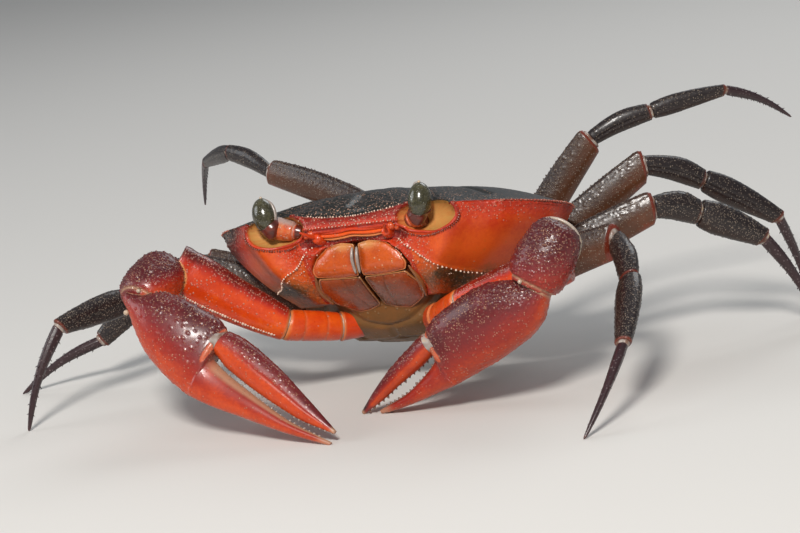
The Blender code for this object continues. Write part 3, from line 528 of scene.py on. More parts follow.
def add_piece(name, grid, finish, tone=0.5, grain=0.0, rim=0.0, grit=0.0, node=None):
    """Makes a closed mesh of a ringed surface, with its masks and finish, in place of any node it names."""
    rings, sides, _ = grid.shape
    verts = np.concatenate([grid.reshape(-1, 3), grid[:1].mean(axis=1), grid[-1:].mean(axis=1)])
    faces = ring_faces(rings, sides)
    if (outward(grid) * np.cross(np.roll(grid, -1, axis=1) - grid, np.gradient(grid, axis=0))).sum() < 0:
        faces = [face[::-1] for face in faces]
    masks = {}
    for key, value in (("tone", tone), ("grain", grain), ("rim", rim), ("grit", grit)):
        value = np.broadcast_to(np.asarray(value, float), (rings, sides))
        masks[key] = np.concatenate([value.ravel(), [value[0].mean(), value[-1].mean()]])
    return add_mesh(name, verts, faces, masks, finish, node)


def plain_masks(tone, rim=0.0):
    """The masks of a mesh without granules, from each vertex's tone."""
    none = np.zeros(len(tone))
    return {"tone": tone, "grain": none, "rim": none + rim, "grit": none}


def add_mesh(name, verts, faces, masks, finish, node=None):
    mesh = bpy.data.meshes.new(name)
    mesh.from_pydata((np.asarray(verts) * W + SHIFT).tolist(), [], faces)
    for key, value in masks.items():
        layer = mesh.attributes.new(key, "FLOAT", "POINT")
        layer.data.foreach_set("value", np.ascontiguousarray(np.clip(value, 0, 1), np.float32))
    mesh.shade_smooth()
    mesh.materials.append(finishes[finish])
    made = bpy.data.objects.new(name, mesh)
    bpy.context.scene.collection.objects.link(made)
    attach(made, "root")
    if node:
        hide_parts(node)
    return made


def add_beads(name, points, normals, radii, finish, tone=0.5, rim=0.0, lift=0.35, detail=8):
    """Small rounded granules, each sunk into the surface that its point is on."""
    radii = np.broadcast_to(np.asarray(radii, float), len(points))
    dome = ellipsoid((0, 0, 0), (1, 1, 1), sides=detail, levels=detail - 2)
    rings, sides, _ = dome.shape
    shape = np.concatenate([dome.reshape(-1, 3), [[0, 0, 1], [0, 0, -1]]])
    shape_faces = ring_faces(rings, sides)
    verts = []
    faces = []
    for k, (at, normal, radius) in enumerate(zip(points, normals, radii)):
        first = unit(np.cross(normal, (0.31, 0.17, 0.93)))
        turn = np.array([first, np.cross(normal, first), normal])
        verts.append(at + normal * radius * lift + shape @ turn * radius)
        faces += [[v + k * len(shape) for v in face] for face in shape_faces]
    tones = np.full(len(points) * len(shape), tone)
    return add_mesh(name, np.concatenate(verts), faces, plain_masks(tones, rim), finish)


# Colours from dark to light along the tone mask, then the colours of granule tips and of rims, and the
# spacing of the fine granulation in metres
FINISHES = {
    "carapace": {
        "stops": [
            (0.00, (0.004, 0.005, 0.003)), (0.16, (0.010, 0.008, 0.006)), (0.26, (0.055, 0.005, 0.003)),
            (0.40, (0.230, 0.010, 0.004)), (0.56, (0.470, 0.030, 0.004)), (0.72, (0.600, 0.078, 0.006)),
            (0.84, (0.380, 0.080, 0.012)), (0.93, (0.090, 0.045, 0.014)), (1.00, (0.030, 0.022, 0.010)),
        ],
        "speck": (0.50, 0.28, 0.19), "rim": (0.50, 0.27, 0.075), "grit": 0.00050,
        "roughness": 0.46, "coat": 0.22, "slot": "carapace",
    },
    "underside": {
        "stops": [
            (0.00, (0.020, 0.014, 0.006)), (0.40, (0.110, 0.050, 0.012)), (0.75, (0.230, 0.080, 0.015)),
            (1.00, (0.480, 0.085, 0.010)),
        ],
        "speck": (0.26, 0.18, 0.09), "rim": (0.28, 0.12, 0.035), "grit": 0.00070,
        "roughness": 0.45, "coat": 0.2, "slot": "underside",
    },
    "mouthpart": {
        "stops": [
            (0.00, (0.030, 0.010, 0.004)), (0.40, (0.190, 0.034, 0.005)), (0.75, (0.420, 0.058, 0.005)),
            (1.00, (0.600, 0.105, 0.008)),
        ],
        "speck": (0.55, 0.30, 0.15), "rim": (0.52, 0.24, 0.08), "grit": 0.0006,
        "roughness": 0.28, "coat": 0.6, "slot": "mouthpart",
    },
    "arm": {
        "stops": [
            (0.00, (0.035, 0.005, 0.004)), (0.30, (0.130, 0.007, 0.004)), (0.60, (0.400, 0.018, 0.003)),
            (0.85, (0.600, 0.050, 0.003)), (1.00, (0.720, 0.095, 0.005)),
        ],
        "speck": (0.50, 0.24, 0.17), "rim": (0.58, 0.25, 0.08), "grit": 0.00060,
        "roughness": 0.32, "coat": 0.5, "slot": "arm",
    },
    "claw": {
        "stops": [
            (0.00, (0.030, 0.004, 0.005)), (0.25, (0.070, 0.006, 0.008)), (0.50, (0.165, 0.010, 0.010)),
            (0.75, (0.290, 0.018, 0.006)), (1.00, (0.560, 0.060, 0.005)),
        ],
        "speck": (0.44, 0.23, 0.14), "rim": (0.42, 0.25, 0.15), "grit": 0.00048,
        "roughness": 0.40, "coat": 0.35, "slot": "claw",
    },
    "leg": {
        "stops": [
            (0.00, (0.006, 0.004, 0.005)), (0.30, (0.018, 0.010, 0.009)), (0.60, (0.050, 0.019, 0.008)),
            (0.85, (0.092, 0.028, 0.009)), (1.00, (0.210, 0.036, 0.009)),
        ],
        "speck": (0.30, 0.23, 0.17), "rim": (0.17, 0.020, 0.008), "grit": 0.00040,
        "roughness": 0.42, "coat": 0.35, "slot": "leg",
    },
    "dactyl": {
        "stops": [
            (0.00, (0.012, 0.006, 0.008)), (0.50, (0.040, 0.016, 0.018)), (1.00, (0.300, 0.090, 0.040)),
        ],
        "speck": (0.24, 0.18, 0.18), "rim": (0.30, 0.19, 0.11), "grit": 0.0005,
        "roughness": 0.36, "coat": 0.4, "slot": "dactyl",
    },
    "eyestalk": {
        "stops": [
            (0.00, (0.020, 0.006, 0.004)), (0.35, (0.150, 0.018, 0.007)), (0.65, (0.520, 0.070, 0.008)),
            (1.00, (0.600, 0.340, 0.140)),
        ],
        "speck": (0.45, 0.36, 0.28), "rim": (0.34, 0.29, 0.26), "grit": 0.0006,
        "roughness": 0.30, "coat": 0.6, "slot": "eyestalk",
    },
    "membrane": {
        "stops": [
            (0.00, (0.070, 0.020, 0.012)), (0.35, (0.170, 0.090, 0.060)), (0.65, (0.330, 0.290, 0.260)),
            (1.00, (0.560, 0.360, 0.180)),
        ],
        "speck": (0.60, 0.55, 0.50), "rim": (0.35, 0.045, 0.015), "grit": 0.0012,
        "roughness": 0.38, "coat": 0.5, "slot": "arm",
    },
    "granule": {
        "stops": [
            (0.00, (0.070, 0.006, 0.004)), (0.50, (0.360, 0.090, 0.050)), (1.00, (0.720, 0.540, 0.420)),
        ],
        "speck": (0.80, 0.75, 0.70), "rim": (0.80, 0.75, 0.70), "grit": 0.0012,
        "roughness": 0.28, "coat": 0.6, "slot": "carapace",
    },
    "cornea": {
        "stops": [
            (0.00, (0.010, 0.009, 0.004)), (0.60, (0.038, 0.034, 0.014)), (1.00, (0.095, 0.085, 0.042)),
        ],
        "speck": (0.13, 0.115, 0.06), "rim": (0.10, 0.030, 0.015), "grit": 0.00030,
        "roughness": 0.12, "coat": 0.9, "slot": "cornea",
    },
}


def shell_material(name, finish):
    """Shell colour from a tone mask and mottling, pale granules, rims, and a wet, grained surface."""
    made = bpy.data.materials.new(f"shell_{name}")
    made.use_nodes = True
    nodes = made.node_tree.nodes
    links = made.node_tree.links
    shader = nodes["Principled BSDF"]
    place = nodes.new("ShaderNodeTexCoord")

    def mask(key):
        node = nodes.new("ShaderNodeAttribute")
        node.attribute_name = key
        return node.outputs["Fac"]

    def noise(scale, detail):
        node = nodes.new("ShaderNodeTexNoise")
        node.inputs["Scale"].default_value = scale
        node.inputs["Detail"].default_value = detail
        links.new(place.outputs["Object"], node.inputs["Vector"])
        return node.outputs["Fac"]

    def arithmetic(operation, first, second, third=None):
        node = nodes.new("ShaderNodeMath")
        node.operation = operation
        for socket, value in zip(node.inputs, (first, second, third)):
            if isinstance(value, (int, float)):
                socket.default_value = value
            elif value is not None:
                links.new(value, socket)
        return node.outputs["Value"]

    def blend(below, factor, colour):
        node = nodes.new("ShaderNodeMix")
        node.data_type = "RGBA"
        links.new(factor, node.inputs["Factor"])
        links.new(below, node.inputs["A"])
        node.inputs["B"].default_value = (*colour, 1)
        return node.outputs["Result"]

    def bumps(height, distance, strength, below=None):
        node = nodes.new("ShaderNodeBump")
        node.inputs["Strength"].default_value = strength
        node.inputs["Distance"].default_value = distance
        links.new(height, node.inputs["Height"])
        if below is not None:
            links.new(below, node.inputs["Normal"])
        return node.outputs["Normal"]

    blotches = arithmetic("MULTIPLY_ADD", noise(220, 4), 0.20, -0.10)
    freckles = arithmetic("MULTIPLY_ADD", noise(1500, 3), 0.20, -0.10)
    tone = arithmetic("ADD", arithmetic("ADD", mask("tone"), blotches), freckles)
    ramp = nodes.new("ShaderNodeValToRGB")
    elements = ramp.color_ramp.elements
    while len(elements) < len(finish["stops"]):
        elements.new(0.5)
    for element, (position, colour) in zip(elements, finish["stops"]):
        element.position = position
        element.color = (*colour, 1)
    links.new(tone, ramp.inputs["Fac"])

    cells = nodes.new("ShaderNodeTexVoronoi")
    cells.inputs["Scale"].default_value = 1 / finish["grit"]
    links.new(place.outputs["Object"], cells.inputs["Vector"])
    chance = nodes.new("ShaderNodeSeparateColor")
    links.new(cells.outputs["Color"], chance.inputs["Color"])
    dome = nodes.new("ShaderNodeMapRange")
    dome.interpolation_type = "SMOOTHSTEP"
    dome.inputs["From Min"].default_value = 0.46
    dome.inputs["From Max"].default_value = 0.18
    links.new(cells.outputs["Distance"], dome.inputs["Value"])
    present = arithmetic("LESS_THAN", chance.outputs["Red"], mask("grit"))
    grit = arithmetic("MULTIPLY", dome.outputs["Result"], present)
    shade = arithmetic("MULTIPLY_ADD", chance.outputs["Green"], 0.70, 0.12)

    colour = blend(ramp.outputs["Color"], arithmetic("MULTIPLY", grit, shade), finish["speck"])
    colour = blend(colour, mask("grain"), finish["speck"])
    colour = blend(colour, mask("rim"), finish["rim"])
    links.new(colour, shader.inputs["Base Color"])

    rough = arithmetic("MULTIPLY_ADD", noise(900, 2), 0.24, finish["roughness"] - 0.12)
    links.new(rough, shader.inputs["Roughness"])
    shader.inputs["Specular IOR Level"].default_value = 0.35
    shader.inputs["Coat Weight"].default_value = finish["coat"]
    shader.inputs["Coat Roughness"].default_value = 0.20
    grain = bumps(noise(4200, 2), 0.00006, 0.35)
    links.new(bumps(grit, 0.00016, 0.7, grain), shader.inputs["Normal"])
    return made


finishes = {name: shell_material(name, finish) for name, finish in FINISHES.items()}


# Carapace

# Paths of the grooves on the carapace's upper side, on the crab's left: widths and lengths from its middle
DORSAL_GROOVES = [
    [(0.000, -0.290), (0.000, -0.240), (0.010, -0.205)],
    [(0.345, -0.180), (0.270, -0.125), (0.185, -0.070), (0.120, -0.020), (0.092, 0.020)],
    [(0.036, -0.020), (0.046, 0.020), (0.040, 0.055), (0.060, 0.110), (0.048, 0.160)],
    [(0.000, 0.055), (0.040, 0.055)],
    [(0.150, 0.180), (0.110, 0.130), (0.092, 0.070)],
]
# Swellings between them: width, length, reach and height
DORSAL_LOBES = [
    (0.060, -0.232, 0.050, 0.0060), (0.165, -0.185, 0.075, 0.0050), (0.000, -0.080, 0.090, 0.0050),
    (0.300, -0.010, 0.140, 0.0080), (0.000, 0.110, 0.055, 0.0040), (0.190, 0.130, 0.080, 0.0040),
]
# Half width of the mouth frame at heights going up
MOUTH_FRAME = [
    (-0.262, 0.080), (-0.250, 0.105), (-0.228, 0.138), (-0.195, 0.152), (-0.165, 0.141), (-0.142, 0.143),
    (-0.112, 0.128), (-0.088, 0.096), (-0.078, 0.052), (-0.074, -0.010),
]
MOUTH_FRAME_DEPTH = 0.040


def margin_points(steps):
    half = along(MARGIN, steps + 1)
    mirrored = half[1:-1][::-1] * np.array([-1, 1, 1])
    return np.vstack([half, mirrored])


def front_recess(x, z):
    """Depth of the hollow under the frontal band, where the feelers fold away."""
    high, low = FRONT_RECESS_HEIGHTS
    down = np.clip((high - z) / 0.008, 0, 1) * np.clip((z - low) / 0.02 + 1, 0, 1)
    inside = np.clip((FRONT_RECESS_HALF_WIDTH - np.abs(x)) / 0.03, 0, 1)
    return FRONT_RECESS * down * inside


def wall_row(outline, row):
    """One level of the carapace wall, from its height, side scale, front y and back y."""
    height, side_scale, front_y, back_y = row
    front = outline[:, 1] < 0
    y = np.where(front, outline[:, 1] * front_y / MARGIN[0][1], outline[:, 1] * back_y / MARGIN[-1][1])
    x = outline[:, 0] * side_scale
    y = y + front_recess(x, height) * front
    return np.column_stack([x, y, np.full(len(x), height)])


def carapace_grid(steps, dome_rings, wall_rings):
    """Rings from the middle of the upper side out to the margin and down the wall."""
    outline = margin_points(steps)
    rings = []
    for fraction in np.linspace(0.02, 1, dome_rings) ** 0.75:
        rise = DOME_RISE * (1 - fraction**2.4)
        rings.append(np.column_stack([outline[:, :2] * fraction, outline[:, 2] * fraction + rise]))
    middle = outline[:, 2].mean()
    rows = np.array([(middle, 1.0, MARGIN[0][1], MARGIN[-1][1])] + WALL)
    places = np.linspace(0, 1, len(rows))
    for share in np.linspace(0, 1, wall_rings + 1)[1:]:
        row = smooth_curve(np.column_stack([places, rows]), [share])[0]
        ring = wall_row(outline, row)
        lift = (outline[:, 2] - middle) * (1 - step_between(share, 0, 0.33))
        ring[:, 2] = np.minimum(ring[:, 2] + lift, outline[:, 2] - 0.05 * share)
        rings.append(ring)
    return np.array(rings)


def orbit_level(points):
    """Where points lie in the nearer orbit's hollow: below 1 inside it, 1 on its wall."""
    x, y, z = np.moveaxis(points, -1, 0)
    away = np.stack([np.abs(x), y, z], axis=-1) - np.array(ORBIT["centre"])
    return np.linalg.norm(away / np.array(ORBIT["size"]), axis=-1)


def hollow_orbits(points):
    """Pushes points inside the orbits back onto the hollows' rear walls."""
    x, y, z = np.moveaxis(points, -1, 0)
    cx, cy, cz = ORBIT["centre"]
    sx, sy, sz = ORBIT["size"]
    spread = 1 - ((np.abs(x) - cx) / sx) ** 2 - ((z - cz) / sz) ** 2
    rear = cy + sy * np.sqrt(np.clip(spread, 0, 1))
    result = points.copy()
    result[..., 1] = np.where(orbit_level(points) < 1, np.maximum(y, rear), y)
    return result


def path_distance(x, y, path):
    """Distance of points from a path in the plane."""
    nearest = np.full(x.shape, 9.0)
    for (ax, ay), (bx, by) in zip(path[:-1], path[1:]):
        dx = bx - ax
        dy = by - ay
        t = np.clip(((x - ax) * dx + (y - ay) * dy) / (dx * dx + dy * dy), 0, 1)
        nearest = np.minimum(nearest, np.hypot(x - ax - t * dx, y - ay - t * dy))
    return nearest


def crest_height(x):
    """Height of the granulated crest across the front, where the dark upper side meets the red band."""
    return 0.003 - 0.015 * np.clip(1 - (x / 0.15) ** 2, 0, 1)


def mouth_frame(x, z):
    """1 inside the frame that holds the mouthparts, 0 outside it."""
    frame = np.array(MOUTH_FRAME)
    half = np.interp(z, frame[:, 0], frame[:, 1])
    inside = step_between(half - np.abs(x), -0.003, 0.004)
    return inside * step_between(z, -0.073, -0.077) * step_between(z, -0.275, -0.262)


# Rings of the carapace's mesh, and half the number of faces round each
CARAPACE_RINGS = {"dome": 150, "wall": 110}
CARAPACE_STEPS = 430


def build_carapace():
    dome_rings = CARAPACE_RINGS["dome"]
    grid = carapace_grid(CARAPACE_STEPS, dome_rings, CARAPACE_RINGS["wall"])
    x, y, z = np.moveaxis(grid, -1, 0)
    width = np.abs(x)
    dome = (np.arange(len(grid)) < dome_rings)[:, None] * np.ones(grid.shape[1])
    wall = 1 - dome
    level = orbit_level(grid)
    hollow = step_between(level, 1.0, 0.96)
    lip = bump(level, 1.05, 0.05) * wall * (1 - hollow)
    front = step_between(y, -0.12, -0.25)
    middle = step_between(width, 0.168, 0.150) * (y < 0)
    crest = crest_height(x)
    above_crest = wall * middle * step_between(z, crest - 0.001, crest + 0.001)
    band = wall * middle * step_between(z, -0.0385, -0.0360) * (1 - above_crest)
    groove = wall * middle * bump(z, -0.0405, 0.0028)
    mouth = mouth_frame(x, z) * wall * (y < 0)
    epistome = wall * middle * step_between(z, -0.056, -0.062) * (1 - mouth) * step_between(z, -0.084, -0.080)

    furrows = np.zeros(z.shape)
    for path in DORSAL_GROOVES:
        furrows = np.maximum(furrows, bump(path_distance(width, y, path), 0, 0.011))
    lobes = np.zeros(z.shape)
    for at_x, at_y, reach, rise in DORSAL_LOBES:
        lobes += rise * np.exp(-((width - at_x) ** 2 + (y - at_y) ** 2) / reach**2)

    ring = np.arange(len(grid))[:, None]
    edge = bump(ring, dome_rings - 0.5, 4.0) * (1 - middle) * (1 - hollow)
    upper = wall * (1 - middle) * step_between(z, -0.070, -0.020)
    cheek = wall * front * step_between(width, 0.245, 0.180) * step_between(z, -0.070, -0.085) * (1 - mouth)
    below_suture = wall * front * step_between(suture_height(width) - z, -0.002, 0.004)
    foot = wall * step_between(z, -0.150, -0.190)
    # The far flank, turned away from the lamps, gets painted shade in its tone below; it also gets more
    # granules and specks
    shaded_far_flank = wall * step_between(x, -0.315, -0.400) * step_between(z, -0.150, -0.070)

    fine = granules(grid, 0.0080, 3, share=0.85)
    coarse = granules(grid, 0.0125, 5, share=0.6)
    rough = dome * (0.25 + 0.75 * front) + band + above_crest + upper + edge + cheek + 0.6 * foot
    rough = np.clip(rough + epistome + 0.7 * shaded_far_flank, 0, 1) * (1 - hollow) * (1 - mouth)
    height = rough * (0.0018 * fine + 0.0020 * coarse * (1 - 0.6 * dome))
    height += dome * (lobes - 0.0065 * furrows) * step_between(ring, dome_rings, dome_rings - 12)
    height += 0.0045 * lip + 0.0030 * edge
    height += wall * middle * (0.0055 * bump(z, crest, 0.0050) + 0.0035 * bump(z, -0.0340, 0.0035))
    height -= 0.0050 * groove
    suture = bump(z, suture_height(width), 0.0040) * step_between(width, 0.120, 0.135)
    height += 0.0030 * wall * front * suture
    shape = raised(hollow_orbits(grid), height)
    shape[..., 1] += MOUTH_FRAME_DEPTH * mouth

    tone = 0.06 + 0.05 * mottle(grid, 0.05, 8) + 0.05 * step_between(width, 0.30, 0.48)
    tone += 0.14 * edge * step_between(width, 0.28, 0.34)
    side = 0.50 + 0.12 * step_between(z, -0.010, -0.060) + 0.08 * step_between(z, -0.060, -0.110)
    # Low on the wall and below the suture the tone runs to dark olive: partly the underside's own
    # olive-brown, partly painted shade under the flank
    side += 0.13 * below_suture * step_between(width, 0.14, 0.26) + 0.17 * foot
    side -= 0.10 * cheek * (1 - below_suture) + 0.12 * lip
    # Painted shade: the far flank is darkened
    side -= 0.30 * shaded_far_flank
    side = np.where(middle > 0.5, 0.40 + 0.14 * step_between(z, -0.018, -0.034), side)
    side = np.where(epistome > 0.5, 0.42, side)
    # The upper side above the crest is near black; the groove under the front band is darkened as painted
    # shade
    side = side * (1 - above_crest) + 0.08 * above_crest - 0.16 * groove
    # Painted shade: each orbit's hollow is darkest in its deep middle round the eye's base, lighter towards
    # its wall
    side = side * (1 - hollow) + (0.34 + 0.26 * step_between(level, 0.1, 0.5)) * hollow
    side = side * (1 - mouth) + 0.86 * mouth
    tone = np.where(dome > 0, tone, side)

    angle = np.arctan2(z - ORBIT["centre"][2], width - ORBIT["centre"][0])
    streaks = mottle(np.stack([angle * 0.12, level * 0.02, np.zeros(angle.shape)], axis=-1), 0.006, 9)
    outer = step_between(width - ORBIT["centre"][0], -0.075, 0.010)
    # The ochre fades out towards the hollow's deep middle, where the painted shade shows
    rim = hollow * (0.30 + 0.34 * streaks + 0.36 * outer) * step_between(level, 0.10, 0.40)
    grain = rough * step_between(coarse, 0.60, 0.90) * (0.60 * band + 0.45 * upper * front + 0.35 * epistome)
    grit = 0.75 * dome * (0.25 + 0.75 * front) + 0.90 * above_crest + 0.75 * band + 0.85 * edge
    grit += upper * (0.30 + 0.40 * front) + 0.70 * cheek + 0.35 * shaded_far_flank + 0.25 * foot + 0.5 * epistome
    grit = np.clip(grit, 0, 0.95) * (1 - hollow) * (1 - mouth)
    grain = np.clip(grain, 0, 0.9)
    add_piece("carapace_shell", body_points(shape), "carapace", tone, grain, rim, grit, "carapace")


# The suture down each cheek, as widths and heights
SUTURE = [
    (0.128, -0.085), (0.158, -0.106), (0.181, -0.126), (0.219, -0.150), (0.260, -0.172), (0.310, -0.182),
]


def suture_height(width):
    path = np.array(SUTURE)
    return np.interp(width, path[:, 0], path[:, 1])


def wall_point(x, z):
    """Point and outward normal of the carapace's front wall at a width and a height, in the body frame."""
    rows = np.array([(MARGIN[0][2], 1.0, MARGIN[0][1], MARGIN[-1][1])] + WALL)[::-1]
    outline = along(MARGIN, 400)[:200]

    def surface(px, pz):
        row = smooth_curve(rows, [pz])[0]
        place = np.interp(px, outline[:, 0] * row[0], outline[:, 1])
        return place * row[1] / MARGIN[0][1] + front_recess(np.array(px), pz)

    step = 0.004
    width = abs(x)
    slope_x = (surface(width + step, z) - surface(width - step, z)) / (2 * step)
    slope_z = (surface(width, z + step) - surface(width, z - step)) / (2 * step)
    sign = math.copysign(1, x)
    return np.array([x, surface(width, z), z]), unit([slope_x * sign, -1, slope_z])


def bead_row(name, path, spacing, radius, tone, jitter=0.25, rise=0.0):
    """A row of granules on the carapace's front wall, on a ridge along a path of widths and heights."""
    path = np.array(path, float)
    length = np.linalg.norm(np.diff(path, axis=0), axis=1).sum()
    places = along(path, max(int(length / spacing), 2))
    points = []
    normals = []
    for k, (x, z) in enumerate(places):
        shake = (random_table[(k * 37 + len(path)) % 4096, :2] - 0.5) * spacing * jitter
        point, normal = wall_point(x + shake[0], z + shake[1])
        points.append(point + normal * rise)
        normals.append(BODY_ROTATION @ normal)
    sizes = radius * (0.65 + 0.6 * random_table[: len(points), 2])
    return add_beads(name, body_points(points), normals, sizes, "granule", tone)


def build_granule_rows():
    widths = np.linspace(-0.148, 0.148, 25)
    bead_row("crest_row", [(x, crest_height(x)) for x in widths], 0.0080, 0.0025, 0.88, rise=0.0050)
    bead_row("crest_row_lower", [(x, crest_height(x) - 0.011) for x in widths], 0.0120, 0.0019, 0.70, 0.9)
    bead_row("front_row", [(x * 0.9, -0.034) for x in widths], 0.0090, 0.0020, 0.78, rise=0.0030)
    bead_row("epistome_row", [(x * 0.75, -0.066) for x in widths], 0.0140, 0.0019, 0.80, 0.8)
    for side, sign in SIDES:
        suture = [(sign * x, z) for x, z in SUTURE]
        bead_row(f"suture_{side}", suture, 0.0074, 0.0026, 1.0, rise=0.0035)
        cheek = [(sign * (x - 0.012), z - 0.013) for x, z in SUTURE[:5]]
        bead_row(f"cheek_row_{side}", cheek, 0.0125, 0.0020, 0.8, 1.2, 0.0010)
        middle_x, _, middle_z = ORBIT["centre"]
        reach_x = ORBIT["size"][0] * 1.07
        reach_z = ORBIT["size"][2] * 1.11
        angles = np.radians(np.linspace(-172, -2, 30))
        lip = [(sign * (middle_x + reach_x * math.cos(a)), middle_z + reach_z * math.sin(a)) for a in angles]
        bead_row(f"orbit_row_{side}", lip, 0.0062, 0.0028, 0.22, 0.1, 0.0030)


def build_margin_teeth():
    """Small teeth along the side margins of the carapace, behind the corner of each orbit."""
    steps = 400
    curve = along(MARGIN, steps + 1)
    for side, sign in SIDES:
        points = []
        normals = []
        for share in np.linspace(0.330, 0.655, 46):
            k = round(share * steps)
            tangent = curve[k + 1] - curve[k - 1]
            out = unit(unit([tangent[1], -tangent[0], 0]) + [0, 0, 0.25]) * [sign, 1, 1]
            points.append(curve[k] * [sign, 1, 1])
            normals.append(BODY_ROTATION @ out)
        points = body_points(points)
        add_spines(f"margin_teeth_{side}", points, normals, 0.0048, 0.0072, "granule", 0.05, 0.62)


# Thorax, abdomen and mouth

def build_thorax():
    sides = 240
    angle = ring_angles(sides)
    round_x = np.sign(np.cos(angle)) * np.abs(np.cos(angle)) ** 0.8
    round_y = np.sign(np.sin(angle)) * np.abs(np.sin(angle)) ** 0.8
    rows = np.array(THORAX)
    places = np.linspace(0, 1, len(rows))
    rings = []
    for share in np.linspace(0, 1, 90):
        height, half_width, front_y, back_y = smooth_curve(np.column_stack([places, rows]), [share])[0]
        x = round_x * half_width
        y = (front_y + back_y) / 2 + round_y * (back_y - front_y) / 2
        rings.append(np.column_stack([x, y, np.full(sides, height)]))
    last = rings[-1]
    middle = last.mean(axis=0)
    for shrink in np.linspace(0.95, 0.06, 30):
        rings.append((last - middle) * shrink + middle - [0, 0, 0.001 * (1 - shrink)])
    grid = np.array(rings)
    x, y, z = np.moveaxis(grid, -1, 0)
    grooves = np.zeros(z.shape)
    for place in (-0.112, -0.052, 0.020, 0.085, 0.145):
        grooves += bump(y + 0.10 * np.abs(x), place, 0.004)
    grooves = np.clip(grooves + bump(x, 0, 0.004) * (z < -0.30), 0, 1)
    fine = granules(grid, 0.010, 21, share=0.6)
    tone = 0.44 + blotches(grid, 0.03, 22, 0.24) - 0.35 * grooves
    tone += 0.22 * step_between(y, -0.08, -0.18)
    add_piece("thorax_shell", body_points(raised(grid, 0.0010 * fine - 0.006 * grooves)), "underside", tone,
              0.0, 0.5 * grooves, 0.15, "thorax")


def build_abdomen():
    path = along(ABDOMEN, 150)
    sides = 90
    forward = np.column_stack([np.zeros(len(path)), unit_rows(np.gradient(path[:, :2], axis=0))])
    across = np.array([1.0, 0, 0])
    out = np.cross(forward, across)
    share = np.linspace(0, 1, len(path))
    seams = np.zeros(len(path))
    for place in (0.12, 0.25, 0.38, 0.51, 0.65, 0.80):
        seams += bump(share, place, 0.008)
    angle = ring_angles(sides)
    centres = np.column_stack([np.zeros(len(path)), path[:, :2]])
    thick = ABDOMEN_HALF_THICKNESS - 0.003 * seams
    wide = path[:, 2] - 0.004 * seams
    flat = np.multiply.outer(wide, np.cos(angle))[..., None] * across
    grid = centres[:, None, :] + flat + np.multiply.outer(thick, np.sin(angle))[..., None] * out[:, None, :]
    fine = granules(grid, 0.012, 31, share=0.5)
    seam = round_rings(np.clip(seams, 0, 1), sides)
    tone = 0.46 + blotches(grid, 0.03, 32, 0.2) - 0.30 * seam
    grid = body_points(raised(grid, 0.0008 * fine))
    add_piece("abdomen_shell", grid, "underside", tone, 0.0, 0.5 * seam, 0.2, "abdomen")


def unit_rows(rows):
    return rows / np.linalg.norm(rows, axis=-1, keepdims=True)


def mouth_surface(x, z):
    """Points and outward normals of the mouth field's outer face at widths and heights."""
    face = np.array(MOUTH_FACE)[::-1, ::-1]
    step = 0.004
    flat = np.ravel(z)
    y = smooth_curve(face, flat)[:, 0].reshape(z.shape)
    low = smooth_curve(face, flat - step)[:, 0].reshape(z.shape)
    high = smooth_curve(face, flat + step)[:, 0].reshape(z.shape)
    normal = np.stack([np.zeros(z.shape), np.full(z.shape, -2 * step), high - low], axis=-1)
    return np.stack([x, y + 0.10 * x * x, z], axis=-1), unit_rows(normal)


def closed_outline(points, count, roundness):
    """Spreads points round a closed outline, with its corners eased."""
    points = np.asarray(points, float)
    loop = np.vstack([points, points[:1]])
    steps = np.linalg.norm(np.diff(loop, axis=0), axis=1)
    place = np.concatenate([[0], np.cumsum(steps)]) / steps.sum()
    share = np.linspace(0, 1, count, endpoint=False)
    even = np.column_stack([np.interp(share, place, loop[:, k]) for k in range(2)])
    width = max(int(count * roundness), 1)
    window = np.hanning(2 * width + 1)
    window /= window.sum()
    wrapped = np.vstack([even[-width:], even, even[:width]])
    return np.column_stack([np.convolve(wrapped[:, k], window, mode="valid") for k in range(2)])


